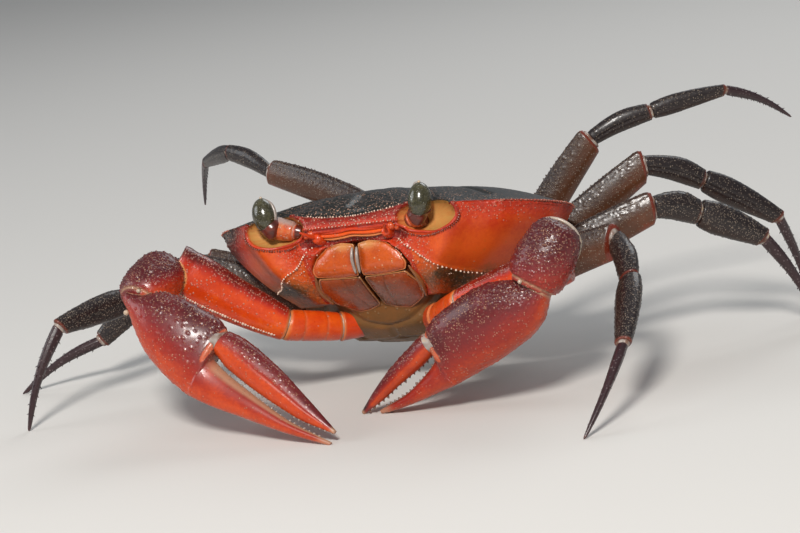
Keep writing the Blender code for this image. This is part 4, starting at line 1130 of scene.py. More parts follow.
def build_maxilliped(kind, side, sign):
    outline = closed_outline(MAXILLIPEDS[kind], 200, 0.025)
    middle = outline.mean(axis=0)
    outline = middle + (outline - middle) * (1 + 0.0030 / np.linalg.norm(outline - middle, axis=1))[:, None]
    scales = np.concatenate([np.full(6, 1.0), np.linspace(1.0, 0.03, 80)[1:]])
    rise = 0.009 * (1 - scales**3.0)
    depth = np.concatenate([np.linspace(-PLATE_THICKNESS, 0, 6), rise[6:]])
    flat = middle + (outline - middle) * scales[:, None, None]
    x, z = np.moveaxis(flat, -1, 0)
    place, normal = mouth_surface(x, z)
    surface = (np.arange(len(scales)) >= 5)[:, None]
    border = surface * step_between(scales, 0.955, 0.985)[:, None] * np.ones(len(outline))
    groove = bump(scales, 0.935, 0.015)[:, None] * surface * np.ones(len(outline))
    crease = np.zeros(border.shape)
    lobe = np.zeros(border.shape)
    if kind == "ischium":
        crease = 0.5 * bump(x, 0.052 + 0.30 * (z + 0.200), 0.0040) * surface * (1 - border)
    else:
        lobe = np.exp(-(((x - 0.036) / 0.030) ** 2 + ((z + 0.085) / 0.012) ** 2)) * surface
    fine = granules(place, 0.009, 41, share=0.55) * surface
    height = depth[:, None] - 0.0018 * groove - 0.0024 * crease + 0.0012 * border
    height = height + 0.0060 * lobe + 0.0005 * fine
    grid = place + normal * height[..., None]
    grid[..., 0] *= sign
    base = 0.80 if kind == "merus" else 0.46
    # Painted shade: the plates darken in their groove and crease and towards the midline seam, and their
    # sides, seen only in the gaps between plates, are near black
    tone = base + blotches(place, 0.02, 42, 0.16) - 0.10 * groove - 0.22 * crease
    tone = tone + 0.10 * step_between(x, 0.06, 0.13) * (kind == "ischium")
    tone = tone - 0.14 * step_between(x, 0.030, 0.012) + 0.12 * lobe
    tone = np.where(surface, tone, 0.1)
    facing = step_between(z, -0.120, -0.160) if kind == "merus" else step_between(z, -0.190, -0.172)
    worn = 0.40 + 0.45 * mottle(place, 0.008, 43) + 0.25 * facing
    rim = np.clip(0.80 * border * worn + 0.9 * lobe, 0, 0.9)
    add_piece(f"maxilliped_{kind}_{side}_shell", body_points(grid), "mouthpart", tone, 0.0, rim, 0.10,
              f"maxilliped_{kind}_{side}")


def add_cord(name, points, radii, finish, tone, sides=12, count=40, rim=0.0, grit=0.0, node=None):
    """A round piece along a smooth line of body points."""
    line = along(np.column_stack([points, radii]), count)
    centres = body_points(line[:, :3])
    forward = unit_rows(np.gradient(centres, axis=0))
    side = unit_rows(np.cross(forward, BODY_ROTATION[:, 2] + 0.3 * BODY_ROTATION[:, 0]))
    up = np.cross(side, forward)
    angle = ring_angles(sides)
    ends = np.sqrt(np.clip(1 - np.abs(np.linspace(-1, 1, count)) ** 8, 0.02, 1))
    radius = (line[:, 3] * ends)[:, None, None]
    across = np.cos(angle)[:, None] * side[:, None, :] + np.sin(angle)[:, None] * up[:, None, :]
    return add_piece(name, centres[:, None, :] + radius * across, finish, tone, 0.0, rim, grit, node)


# The palp beside the mouth's middle and the slender branch outside its plates, on the crab's left
PALP = [(0.0065, -0.286, -0.090), (0.0075, -0.290, -0.118), (0.006, -0.276, -0.160)]
EXOPOD = [(0.138, -0.256, -0.150), (0.150, -0.214, -0.192), (0.138, -0.160, -0.228)]


def build_mouth():
    for side, sign in SIDES:
        for kind in MAXILLIPEDS:
            build_maxilliped(kind, side, sign)
        mirror = [sign, 1, 1]
        palp = np.array(PALP) * mirror
        add_cord(f"palp_{side}", palp, [0.0038, 0.0046, 0.0034], "membrane", 0.55, 16)
        exopod = np.array(EXOPOD) * mirror
        add_cord(f"exopod_{side}", exopod, [0.004, 0.007, 0.006], "mouthpart", 0.30, 16, 40, 0.25)


# Eyes and feelers

# A pale strip of skin on each eye: its angle round the eye's axis in degrees and its ends, as shares of half
# a turn down from the eye's top. Then the side towards which the eye's cup is lowest, in degrees
EYE_STRIPS = {"left": (170, 0.05, 0.20), "right": (8, 0.08, 0.78)}
CUP_FRONT = {"left": -68, "right": -112}


def eye_turn(side):
    return BODY_ROTATION @ lean_matrix(EYE_LEAN[side])


def eye_surface(side, polar, round_angle, scale=1.0, reach=1.0):
    """A point on an eye at an angle from its top and round its axis."""
    along_axis = math.cos(polar) * reach
    away = math.sin(polar)
    local = np.array([away * math.cos(round_angle), away * math.sin(round_angle), along_axis])
    return body_point(EYES[side]) + eye_turn(side) @ (local * np.array(EYE_SIZE) * scale)


def eye_socket(side):
    """The dark cup that an eye sits in, whose rim is low in front and high behind. Its dark brown-red is
    partly the skin's own colour, partly painted shade under the eye.
    """
    angles = ring_angles(72)
    front = math.radians(CUP_FRONT[side])
    inward = np.array([-0.007 if side == "left" else 0.007, 0, 0])
    rings = [(0.0, 1.00, 1.0), (0.0, 1.10, 1.0)]
    rings += [(t, 1.12 + 0.16 * step_between(t, 0, 0.4), 1.0 + 0.36 * step_between(t, 0.0, 0.9))
              for t in np.linspace(0.04, 1, 30)]
    grid = []
    for t, scale, reach in rings:
        ring = []
        for angle in angles:
            lip = 0.55 + 0.26 * (0.5 + 0.5 * math.cos(angle - front))
            polar = math.pi * (lip + (0.985 - lip) * t)
            point = eye_surface(side, polar, angle, scale, reach / scale)
            ring.append(point + inward * min(t * 4, 1))
        grid.append(ring)
    return np.array(grid)


def build_eyes():
    for side, sign in SIDES:
        turn = eye_turn(side)
        centre = body_point(EYES[side])
        grid = ellipsoid(centre, EYE_SIZE, turn, 96, 72)
        high = ((grid - centre) @ turn[:, 2]) / EYE_SIZE[2]
        tone = 0.52 + blotches(grid, 0.006, 51, 0.5) + 0.20 * step_between(high, 0.4, 0.9)
        add_piece(f"eye_{side}_shell", grid, "cornea", tone, 0.0, 0.0, 0.9, f"eye_{side}")
        tip = eye_surface(side, 0.06, math.pi if sign > 0 else 0)
        add_beads(f"eye_papilla_{side}", [tip], [turn[:, 2]], 0.0042, "membrane", 0.85, lift=0.2)

        cup = eye_socket(side)
        # Dark tone: partly the skin's own brown-red, partly painted shade under the eye
        tone = 0.20 + blotches(cup, 0.010, 52, 0.25)
        add_piece(f"eye_socket_{side}", cup, "eyestalk", tone)
        angle, first, last = EYE_STRIPS[side]
        shares = np.linspace(first, last, 4)
        strip = [eye_surface(side, share * math.pi, math.radians(angle)) for share in shares]
        radii = [0.0020, 0.0044, 0.0052, 0.0040]
        add_cord(f"eye_strip_{side}", in_body_frame(strip), radii, "membrane", 0.55, 16)

        root, end = body_points([(sign * STALK_ROOT[0], STALK_ROOT[1], STALK_ROOT[2]), EYES[side]])
        end = end - turn[:, 2] * EYE_SIZE[2] * 0.55 + (root - end) * 0.16 + BODY_ROTATION @ [0, 0.020, 0]
        inner, outer = STALK_RADII
        profile = [
            (0, inner * 0.8, inner * 0.8), (0.3, inner * 1.05, inner * 1.05), (1, outer * 0.95, outer * 1.05),
        ]
        places = np.linspace(0, 1, 60)
        stalk = tube(root, end, BODY_ROTATION[:, 1], profile, 72, places)
        place = round_rings(places, 72)
        high = turn_height(stalk, BODY_ROTATION[:, 2])
        ring = bump(place, 0.26, 0.05)
        fine = granules(stalk, 0.010, 53, share=0.6)
        tone = 0.66 - 0.45 * step_between(place, 0.24, 0.14) - 0.30 * step_between(place, 0.75, 0.95)
        tone += blotches(stalk, 0.010, 54, 0.2)
        rim = 0.8 * step_between(high, 0.25, 0.75) * step_between(place, 0.22, 0.34)
        rim = np.clip(rim + 0.5 * bump(place, 0.26, 0.03), 0, 0.85)
        add_piece(f"eyestalk_{side}_shell", raised(stalk, 0.001 * fine - 0.004 * ring), "eyestalk", tone, 0.0,
                  rim, 0.2, f"eyestalk_{side}")


# The lobes at each orbit's inner corner, on the crab's left, and the folded small feelers under the front
CORNER_BEADS = [(0.118, -0.299, -0.047), (0.134, -0.299, -0.053)]
CORNER_BEAD_RADII = (0.0110, 0.0065)
FEELER_BARS = [
    {"height": -0.0465, "half_width": 0.112, "y": -0.3000, "radius": 0.0060, "tone": 0.72, "rim": 0.0},
    {"height": -0.0555, "half_width": 0.104, "y": -0.2960, "radius": 0.0056, "tone": 0.95, "rim": 0.0},
    {"height": -0.0630, "half_width": 0.092, "y": -0.2900, "radius": 0.0038, "tone": 0.90, "rim": 0.65},
]


def build_feelers():
    for side, sign in SIDES:
        root, base, tip = [np.array([sign * x, y, z]) for x, y, z in ANTENNA]
        thick, base_end, thin = ANTENNA_RADII
        line = [root, (root + base) / 2, base]
        add_cord(f"antenna_{side}_shell", line, [thick, thick, base_end], "arm", 0.80, 32, 40, 0.0, 0.2,
                 f"antenna_{side}")
        add_cord(f"antenna_lash_{side}", [root + (base - root) * 0.7, (base + tip) / 2, tip],
                 [thin * 1.8, thin * 1.4, thin], "arm", 0.75)
        spots = body_points([(sign * x, y, z) for x, y, z in CORNER_BEADS])
        front = np.tile(BODY_ROTATION @ [0, -1.0, 0.2], (len(spots), 1))
        add_beads(f"corner_lobe_{side}", spots, front, CORNER_BEAD_RADII, "arm", 0.72, rim=0.15, lift=-0.15,
                  detail=20)
    for k, bar in enumerate(FEELER_BARS):
        x = np.linspace(-bar["half_width"], bar["half_width"], 7)
        points = np.column_stack([x, bar["y"] + 0.25 * x * x, bar["height"] + 0.002 * np.cos(60 * x)])
        radii = bar["radius"] * np.array([0.8, 1.0, 0.9, 0.75, 0.9, 1.0, 0.8])
        add_cord(f"feeler_bar_{k}", points, radii, "arm", bar["tone"], 18, 120, bar["rim"], 0.1)


# Limbs

def leg_joints(leg):
    """Joint points of a leg from its root to its tip, with each segment's heading."""
    at = body_point(leg["root"])
    if "ischium" in leg:
        at = at + direction(*leg["ischium"][:2]) * leg["ischium"][2]
    points = [at]
    headings = []
    for heading, pitch, length in leg["segments"]:
        points.append(points[-1] + direction(heading, pitch) * length)
        headings.append(heading)
    if "foot" in leg:
        heading, length = leg["foot"]
        height = points[-1][2]
        reach = math.sqrt(length**2 - height**2)
        points.append(points[-1] + direction(heading, 0) * reach - np.array([0, 0, height]))
        headings.append(heading)
    return points, headings


def leg_faces(leg, points):
    """Normals of the faces in which a leg's segments meet, from its root to its tip."""
    root = body_point(leg["root"])
    if "ischium" in leg:
        inner = unit(points[0] - root)
    else:
        inner = unit(root - coxa_start(leg))
    axes = [inner] + [unit(b - a) for a, b in zip(points[:-1], points[1:])]
    faces = [unit(a + b) for a, b in zip(axes[:-1], axes[1:])]
    if "foot" in leg:
        faces.append(np.array([0, 0, -1.0]))
    else:
        faces.append(axes[-1])
    return faces


def coxa_start(leg):
    """Inner end of a coxa, inside the thorax, whose back the last pair's would otherwise miss."""
    x, y, z = leg["root"]
    inner = (math.copysign(COXA_INNER[0], x), min(y * 0.9, COXA_INNER[1]), min(z + 0.012, COXA_INNER[2]))
    return body_point(inner)


def leg_line(name, k):
    """Ends, side direction, cross-sections and bow of a leg's segment, with its end faces' normals."""
    leg = LEGS[name]
    points, headings = leg_joints(leg)
    faces = leg_faces(leg, points)
    kind = LEG_SEGMENTS[k]
    girth = leg["stout"] * leg["girths"][k]
    profile = scaled(LEG_PROFILES[kind], girth)
    start = points[k] + faces[k] * GAP / 2
    end = points[k + 1]
    if k < 3:
        end = end - faces[k + 1] * GAP / 2
    side = side_vector(headings[k])
    if "rolls" in leg:
        roll = math.radians(leg["rolls"][k])
        up = np.cross(side, unit(end - start))
        side = side * math.cos(roll) + up * math.sin(roll)
    return start, end, side, profile, LEG_BOW[kind] * leg["stout"], faces[k], faces[k + 1]


SHIFT = tie_shift()


def edge_point(line, share, sign, turn):
    """A point on a segment's upper or lower edge, turned towards one side, with the direction out of it."""
    start, end, side, profile, bow = line[:5]
    axis, across, up = cross_axes(start, end, side)
    size = smooth_curve(profile, [share])[0]
    centre = start + (end - start) * share + up * bow * math.sin(math.pi * share)
    point = centre + up * sign * size[1] * math.cos(turn) + across * size[0] * math.sin(turn)
    return point, unit(up * sign * math.cos(turn) + across * math.sin(turn)), axis


# Faces round each segment of a leg
LEG_SIDES = {"merus": 96, "carpus": 72, "propodus": 64, "dactyl": 36}


def build_leg_segment(name, k):
    kind = LEG_SEGMENTS[k]
    line = leg_line(name, k)
    start, end, side, profile, bow, first, last = line
    places = np.linspace(0, 1, int(np.linalg.norm(end - start) / FACE_SIZE) + 8)
    sides = LEG_SIDES[kind]
    grid = tube(start, end, side, profile, sides, places, first, last, bow, MERUS_KEEL * (kind == "merus"))
    high = turn_height(grid, cross_axes(start, end, side)[2])
    place = round_rings(places, sides)
    root_end = step_between(place, 0.05, 0.0)
    tip_end = step_between(place, 0.95, 1.0)
    fine = granules(grid, 0.0085, 61 + k, share=0.85)
    front_pair = name[4] in "23"
    rim = np.zeros(place.shape)
    if kind == "merus":
        ridge = step_between(high, 0.80, 1.0)
        height = 0.0016 * fine * step_between(high, -0.4, 0.6) + 0.0030 * ridge
        tone = 0.68 - 0.34 * step_between(high, -0.1, 0.95) + 0.18 * step_between(high, -0.4, -1.0)
        tone += 0.14 * step_between(place, 0.75, 1.0)
        grit = 0.30 + 0.55 * step_between(high, -0.5, 0.5)
        rim = 0.8 * step_between(place, 0.978, 0.990)
    elif kind == "dactyl":
        flutes = np.abs(np.sin(1.5 * math.pi * high))
        height = 0.0004 * fine - 0.0010 * (1 - flutes) * step_between(place, 0.95, 0.7)
        tone = 0.30 + 0.25 * step_between(place, 0.88, 1.0) + 0.30 * root_end
        grit = 0.35 * step_between(place, 0.9, 0.3)
    else:
        smooth = 1.0 if front_pair else 0.45
        height = 0.0018 * fine * smooth - 0.0016 * bump(high, -0.15, 0.14) * (1 - root_end) * (1 - tip_end)
        tone = 0.16 + 0.24 * step_between(high, 0.1, -0.9)
        tone += 0.30 * step_between(place, 0.90, 1.0) * (1 - smooth / 2)
        tone += 0.35 * tip_end * (kind == "propodus")
        grit = (0.42 + 0.56 * smooth) * step_between(high, -1.0, -0.2) * (0.45 + 0.55 * smooth)
        rim = 0.8 * bump(place, 0.985, 0.012)
    height = height * step_between(place, 0.0, 0.04) * step_between(place, 1.0, 0.96)
    tuck = 0.005 * (step_between(place, 0.020, 0.0) + step_between(place, 0.985, 1.0))
    finish = "dactyl" if kind == "dactyl" else "leg"
    tone = tone + blotches(grid, 0.03, 65, 0.08)
    grain = 0.40 * step_between(fine, 0.72, 0.95) * step_between(high, -0.6, 0.1) * (kind != "dactyl")
    node = f"{name}_{kind}"
    add_piece(f"{node}_shell", raised(grid, height - tuck), finish, tone, grain, rim, grit, node)
    if kind == "merus":
        points, normals = edge_spines(line, np.linspace(0.10, 0.955, 30), [(1, 0.0)], 0.15)
        add_spines(f"{name}_merus_tubercles", points, normals, 0.0050, 0.0075, "leg", 0.10, 0.75)
    if kind == "dactyl":
        edges = itertools.product((1, -1), (0.5, -0.5))
        points, normals = edge_spines(line, np.linspace(0.12, 0.84, 9), list(edges), 0.9)
        add_spines(f"{name}_dactyl_spines", points, normals, 0.0021, 0.0085, "dactyl", 0.10, 0.55)


def edge_spines(line, shares, edges, lean):
    """Roots and directions of spines along a segment's edges, leaning towards its tip."""
    points = []
    normals = []
    for share in shares:
        for sign, turn in edges:
            point, out, axis = edge_point(line, share, sign, turn)
            points.append(point - out * 0.0015)
            normals.append(unit(out + axis * lean))
    return points, normals


def add_spines(name, points, normals, radius, height, finish, root_tone, tip_tone):
    """Short pointed spines, each rooted in the surface that its point is on."""
    sides = 7
    angle = ring_angles(sides)
    verts = []
    faces = []
    for k, (at, out) in enumerate(zip(points, normals)):
        first = unit(np.cross(out, [0.31, 0.17, 0.93]))
        ring = np.outer(np.cos(angle), first) + np.outer(np.sin(angle), np.cross(out, first))
        size = 0.75 + 0.5 * random_table[(k * 13) % 4096, 3]
        verts += list(at - out * 0.003 + radius * size * ring)
        verts += list(at + out * height * size * 0.55 + radius * size * 0.50 * ring)
        verts += [at - out * 0.005, at + out * height * size]
        offset = k * (2 * sides + 2)
        for i in range(sides):
            j = (i + 1) % sides
            low = offset + i
            low_next = offset + j
            faces.append([low, low_next, low_next + sides, low + sides])
            faces.append([low + sides, low_next + sides, offset + 2 * sides + 1])
            faces.append([low_next, low, offset + 2 * sides])
    middle_tone = (root_tone + tip_tone) / 2
    shades = [root_tone] * sides + [middle_tone] * sides + [root_tone, tip_tone]
    return add_mesh(name, np.array(verts), faces, plain_masks(np.tile(shades, len(points))), finish)


def build_joint(name, at, axis, side, size, tone):
    """Soft skin between two segments, seen in the gap where they meet."""
    axis = unit(axis)
    side = unit(side - axis * (side @ axis))
    turn = np.column_stack([side, axis, np.cross(side, axis)])
    grid = ellipsoid(at, size, turn, 36, 20)
    return add_piece(name, grid, "membrane", tone + blotches(grid, 0.010, 71, 0.9))


def build_coxa(name):
    leg = LEGS[name]
    points, headings = leg_joints(leg)
    faces = leg_faces(leg, points)
    profile = scaled(COXA_PROFILE, leg["stout"])
    root = body_point(leg["root"])
    start = coxa_start(leg)
    flat = unit((root - start) * np.array([1, 1, 0]))
    side = np.array([flat[1], -flat[0], 0])
    places = np.linspace(0, 1, 40)
    if "ischium" not in leg:
        shapes = [tube(start, root - faces[0] * GAP / 2, side, profile, 56, places, None, faces[0])]
    else:
        rise = unit(points[0] - root)
        end = points[0] - faces[0] * GAP / 2
        shapes = [
            tube(start, root + unit(root - start) * 0.012, side, profile, 56, places),
            tube(root - rise * 0.02, end, side_vector(headings[0]), profile, 56, places, None, faces[0]),
        ]
    for k, grid in enumerate(shapes):
        fine = granules(grid, 0.010, 81, share=0.6)
        tone = 0.42 + blotches(grid, 0.02, 82, 0.25)
        add_piece(f"{name}_coxa_{k}", raised(grid, 0.001 * fine), "underside", tone, 0.0, 0.0, 0.4)


def build_legs():
    for name in LEGS:
        stout = LEGS[name]["stout"]
        build_coxa(name)
        for k in range(4):
            build_leg_segment(name, k)
        for k, tone in enumerate((0.48, 0.50, 0.50)):
            _, end, side, profile, _, _, last = leg_line(name, k)
            wide, high = smooth_curve(profile, [1.0])[0] * 0.80
            size = (wide, 0.010 * stout, high)
            build_joint(f"{name}_joint_{k + 1}", end + last * GAP / 2, last, side, size, tone)


# Claws

def claw_points(side):
    claw = CLAWS[side]
    root = body_point(claw["root"])
    knee = root + direction(*claw["ischium"][:2]) * claw["ischium"][2]
    elbow = knee + direction(*claw["merus"][:2]) * claw["merus"][2]
    carpus_start = elbow + np.array(claw["carpus_offset"])
    wrist = carpus_start + direction(*claw["carpus"][:2]) * claw["carpus"][2]
    pitch = math.degrees(math.asin((claw["tip_height"] - wrist[2]) / claw["length"]))
    axis = direction(claw["palm_heading"], pitch)
    return root, knee, elbow, carpus_start, wrist, axis


def claw_coxa_start(side):
    x, y, z = CLAWS[side]["root"]
    return body_point((x * 0.50, y + 0.075, z + 0.01))


def arm_faces(side):
    """Normals of the faces in which the coxa, ischium and merus of a claw's arm meet."""
    root, knee, elbow = claw_points(side)[:3]
    inner = unit(root - claw_coxa_start(side))
    first = unit(knee - root)
    return unit(inner + first), unit(first + unit(elbow - knee))


def claw_frame(side):
    axis = claw_points(side)[5]
    face = direction(*CLAW_FACE)
    out = unit(face - axis * (face @ axis))
    up = np.cross(axis, out)
    return axis, out, up if up[2] > 0 else -up


def carpus_level(side, points):
    """Distance of points from a carpus's own line, in its radii: below 1 inside it."""
    start, wrist = claw_points(side)[3:5]
    size = CLAWS[side]["carpus_size"]
    axis, across, up = cross_axes(start, wrist, claw_frame(side)[1])
    away = points - start
    length = np.linalg.norm(wrist - start)
    place = (away @ axis) / length
    radii = smooth_curve(CARPUS_PROFILE, place.ravel()).reshape(*place.shape, 2) * size
    level = np.hypot((away @ across) / radii[..., 0], (away @ up) / radii[..., 1])
    beyond = np.maximum(place - 1, -place) * length / 0.04
    return np.maximum(level, 1 + np.clip(beyond, -9, 9))


# Rows of granules along the arm's edges: edge, turn towards its broad face, radius and tone
ARM_ROWS = [
    ("lower", -1, 0.85, 0.0036, 0.90), ("upper", 1, 0.10, 0.0034, 0.15),
    ("upper_front", 1, 0.55, 0.0024, 0.45),
]


def build_arm(side):
    root, knee, elbow = claw_points(side)[:3]
    first, second = arm_faces(side)
    claw = CLAWS[side]
    places = np.linspace(0, 1, 40)
    coxa = tube(claw_coxa_start(side), root - first * GAP / 2, np.array([0, 1.0, 0]), CLAW_COXA_PROFILE, 72,
                places, None, first)
    place = round_rings(places, 72)
    tone = 0.78 + blotches(coxa, 0.02, 91, 0.2) - 0.25 * step_between(place, 0.7, 0.3)
    add_piece(f"claw_coxa_{side}", coxa, "arm", tone, 0.0, 0.5 * step_between(place, 0.93, 1.0))

    places = np.linspace(0, 1, 60)
    across = side_vector(claw["ischium"][0])
    grid = tube(root + first * GAP / 2, knee - second * GAP / 2, across, ISCHIUM_PROFILE, 96, places, first,
                second)
    place = round_rings(places, 96)
    ends = step_between(place, 0.06, 0.0) + step_between(place, 0.94, 1.0)
    folds = bump(place, 0.30, 0.02) + bump(place, 0.72, 0.02)
    tone = 0.90 + blotches(grid, 0.02, 92, 0.12) - 0.10 * folds
    add_piece(f"claw_ischium_{side}_shell", raised(grid, -0.0030 * ends - 0.0012 * folds), "arm", tone, 0.0,
              0.7 * ends + 0.25 * folds, 0.05, f"claw_ischium_{side}")

    start = knee + second * GAP / 2
    across = side_vector(claw["merus"][0])
    places = np.linspace(0, 1, 170)
    profile = scaled(ARM_PROFILE, claw["merus_size"])
    grid = tube(start, elbow, across, profile, 160, places, second, None, ARM_BOW, ARM_KEEL)
    _, beside, up = cross_axes(start, elbow, across)
    high = turn_height(grid, up)
    place = round_rings(places, 160)
    near = carpus_level(side, grid)
    fine = granules(grid, 0.009, 93, share=0.6)
    upper = step_between(high, 0.40, 0.95)
    height = 0.0016 * fine * (0.25 + 0.75 * upper) + 0.003 * upper - 0.004 * step_between(place, 0.02, 0.0)
    height += 0.0050 * step_between(place, 0.88, 0.97)
    tone = 0.82 - 0.54 * upper + 0.10 * step_between(place, 0.5, 0.1) + blotches(grid, 0.02, 94, 0.12)
    tone -= 0.14 * step_between(place, 0.60, 1.0)
    grit = 0.16 + 0.50 * upper + 0.35 * step_between(place, 0.3, 0.9)
    rim = np.clip(0.8 * step_between(place, 0.03, 0.0) + 0.9 * step_between(near, 1.16, 1.06), 0, 0.9)
    node = f"claw_merus_{side}"
    add_piece(f"{node}_shell", raised(grid, height), "arm", tone, 0.0, rim, grit, node)

    facing = 1 if beside @ direction(*CLAW_FACE) > 0 else -1
    line = (start, elbow, across, profile, ARM_BOW)
    for label, sign, turn, size, shade in ARM_ROWS:
        spots = [edge_point(line, share, sign, turn * facing) for share in np.arange(0.05, 0.87, 0.022)]
        points, normals, _ = zip(*spots)
        sizes = size * (0.7 + 0.6 * random_table[: len(spots), 1])
        add_beads(f"claw_merus_{label}_row_{side}", points, normals, sizes, "granule", shade)


# The carpus's inner end, rounder than its solid's: place and radii
CARPUS_CROWN = [(0, 0.006, 0.007), (0.012, 0.026, 0.029), (0.04, 0.041, 0.045)]


def build_elbow_hem(side):
    """The pale edge of the arm's skin, which lies round the carpus's inner end."""
    start, wrist = claw_points(side)[3:5]
    profile = scaled(CARPUS_CROWN + CARPUS_PROFILE[1:], CLAWS[side]["carpus_size"])
    line = (start, wrist, claw_frame(side)[1], profile, 0.0)
    spots = [edge_point(line, share, 1, -0.25)[0] for share in (0.42, 0.30, 0.18, 0.09, 0.03)]
    spots += [edge_point(line, share, -1, -0.25)[0] for share in (0.03, 0.09, 0.18, 0.30)]
    radii = 0.0044 * np.sqrt(np.clip(1 - np.linspace(-1, 1, len(spots)) ** 6, 0.1, 1))
    add_cord(f"claw_elbow_hem_{side}", in_body_frame(spots), radii, "membrane", 0.75, 14, 160)


def build_carpus(side):
    start, wrist = claw_points(side)[3:5]
    size = CLAWS[side]["carpus_size"]
    profile = scaled(CARPUS_CROWN + CARPUS_PROFILE[1:], size)
    axis, out, up = claw_frame(side)
    places = 0.5 - 0.5 * np.cos(np.linspace(0, math.pi, 170))
    grid = tube(start, wrist, out, profile, 180, places)
    fine = granules(grid, 0.0085, 101, share=0.9)
    middle = (start + wrist) / 2
    level = (grid - middle) @ np.array([0, 0, 1.0])
    toward_palm = (grid - middle) @ axis
    upward = step_between(level, -0.080, 0.045)
    place = round_rings(places, 180)
    hem = (bump(place, 0.955, 0.02) + bump(place, 0.035, 0.02)) * step_between(place, 0.5, 0.9)
    tone = 0.74 - 0.50 * upward + blotches(grid, 0.025, 102, 0.10)
    inner = step_between(toward_palm, -0.01, 0.04) * step_between(level, 0.045, 0.000)
    tone = tone + 0.45 * inner * (side == "right")
    grain = step_between(fine, 0.70, 0.95) * (0.12 + 0.20 * upward) * (1 - inner)
    grit = (0.45 + 0.5 * upward) * (1 - 0.7 * inner)
    grid = raised(grid, 0.0034 * fine - 0.003 * hem)
    node = f"claw_carpus_{side}"
    add_piece(f"{node}_shell", grid, "claw", tone, grain, 0.65 * hem, grit, node)
    knobs = []
    for turn in (-0.9, 0.55):
        away = out * math.cos(turn) + up * math.sin(turn)
        knobs.append(wrist - (wrist - start) * 0.03 + away * 0.052 * size)
    add_beads(f"claw_wrist_knobs_{side}", knobs, [out, out], [0.0075, 0.0060], "membrane", 0.80, lift=-0.2,
              detail=20)
    if side == "left":
        build_elbow_hem(side)


def claw_blade(side, top, bottom, thickness, places, sides, grow=0.0):
    """A flattened body along the claw's axis between a top line and a bottom line."""
    wrist = claw_points(side)[4]
    axis, out, up = claw_frame(side)
    high = steady_curve(top, places) + grow
    low = steady_curve(bottom, places) - grow
    share = (places - places[0]) / (places[-1] - places[0])
    thick = smooth_curve(thickness, share)[:, 0] + grow
    centres = wrist + np.outer(places, axis) + np.outer((high + low) / 2, up)
    return rings_of(centres, out, up, thick, (high - low) / 2, sides)


def above_floor(grid):
    result = grid.copy()
    result[..., 2] = np.maximum(result[..., 2], 0)
    return result


# The points of a palm's top line between which it drops to its fixed finger
NOTCH = (6, 7)
# Length of a face on the palms and fingers
CLAW_FACE_SIZE = 0.0022


def build_palm(side):
    claw = CLAWS[side]
    end = claw["top"][-1][0]
    before, step = (claw["top"][k][0] for k in NOTCH)
    sides = 260
    even = np.arange(-0.03, end, CLAW_FACE_SIZE)
    places = np.unique(np.concatenate([even, np.linspace(before, step, 12), [end]]))
    top = [(-0.03, claw["heel"][0])] + claw["top"]
    bottom = [(-0.03, claw["heel"][1])] + claw["bottom"]
    share = before / end
    thickness = [(t * share, v) for t, v in PALM_THICKNESS]
    thickness += [(share + (1 - share) * t, v) for t, v in FINGER_THICKNESS[1:]]
    grid = claw_blade(side, top, bottom, thickness, places, sides)
    axis, _, up = claw_frame(side)
    place = round_rings(places, sides)
    high = turn_height(grid, up)
    finger = step_between(place, before - 0.01, step + 0.03)
    stretched = grid - np.multiply.outer((grid @ axis) * 0.35, axis)
    fine = granules(stretched, 0.0105, 111, share=0.7)
    crust = granules(grid, 0.0085, 112, share=0.95)
    crust = crust * step_between(place, 0.15, 0.03) * step_between(high, -0.2, 0.6)
    crest_rows = step_between(high, 0.55, 0.95) * (1 - finger)
    level = carpus_level(side, grid)
    height = (0.0032 * fine * (0.5 + 0.5 * crest_rows) + 0.0042 * crust) * (1 - finger)
    front_edge = bump(place, before - 0.006, 0.007) * step_between(high, -0.2, 0.3)
    height += 0.0030 * front_edge
    tone = 0.88 - 0.60 * step_between(high, -1.0, 0.60) * (1 - 0.6 * finger) + 0.05 * finger
    tone += blotches(grid, 0.04, 113, 0.10)
    tone += 0.20 * bump(place, step + 0.010, 0.02) * step_between(high, -0.2, 0.6)
    pale = 0.50 if side == "right" else 0.28
    grain = step_between(fine, 0.72, 0.95) * pale * (1 - finger) + step_between(crust, 0.60, 0.95) * 0.7
    grit = (0.25 + 0.60 * step_between(high, -0.3, 0.8)) * (1 - 0.75 * finger)
    joint = step_between(level, 1.12, 1.03)
    flat_top = finger * 0.4 * step_between(high, 0.9, 1.0)
    if side == "right":
        flat_top += finger * step_between(high, 0.45, 0.75)
    tips = step_between(place, end - 0.05, end - 0.01)
    tone = np.where(front_edge > 0.3, np.maximum(tone, 0.92), tone)
    rim = np.clip(0.75 * joint + 0.70 * flat_top + 0.6 * tips + 0.35 * front_edge, 0, 0.85)
    grid = above_floor(raised(grid, height))
    node = f"claw_palm_{side}"
    add_piece(f"{node}_shell", grid, "claw", tone, np.clip(grain, 0, 0.9), rim, grit, node)


# The band of soft skin round each movable finger's base
COLLAR = {"length": 0.020, "thickness": [(0, 0.036), (1, 0.035)], "rise": 0.0012}


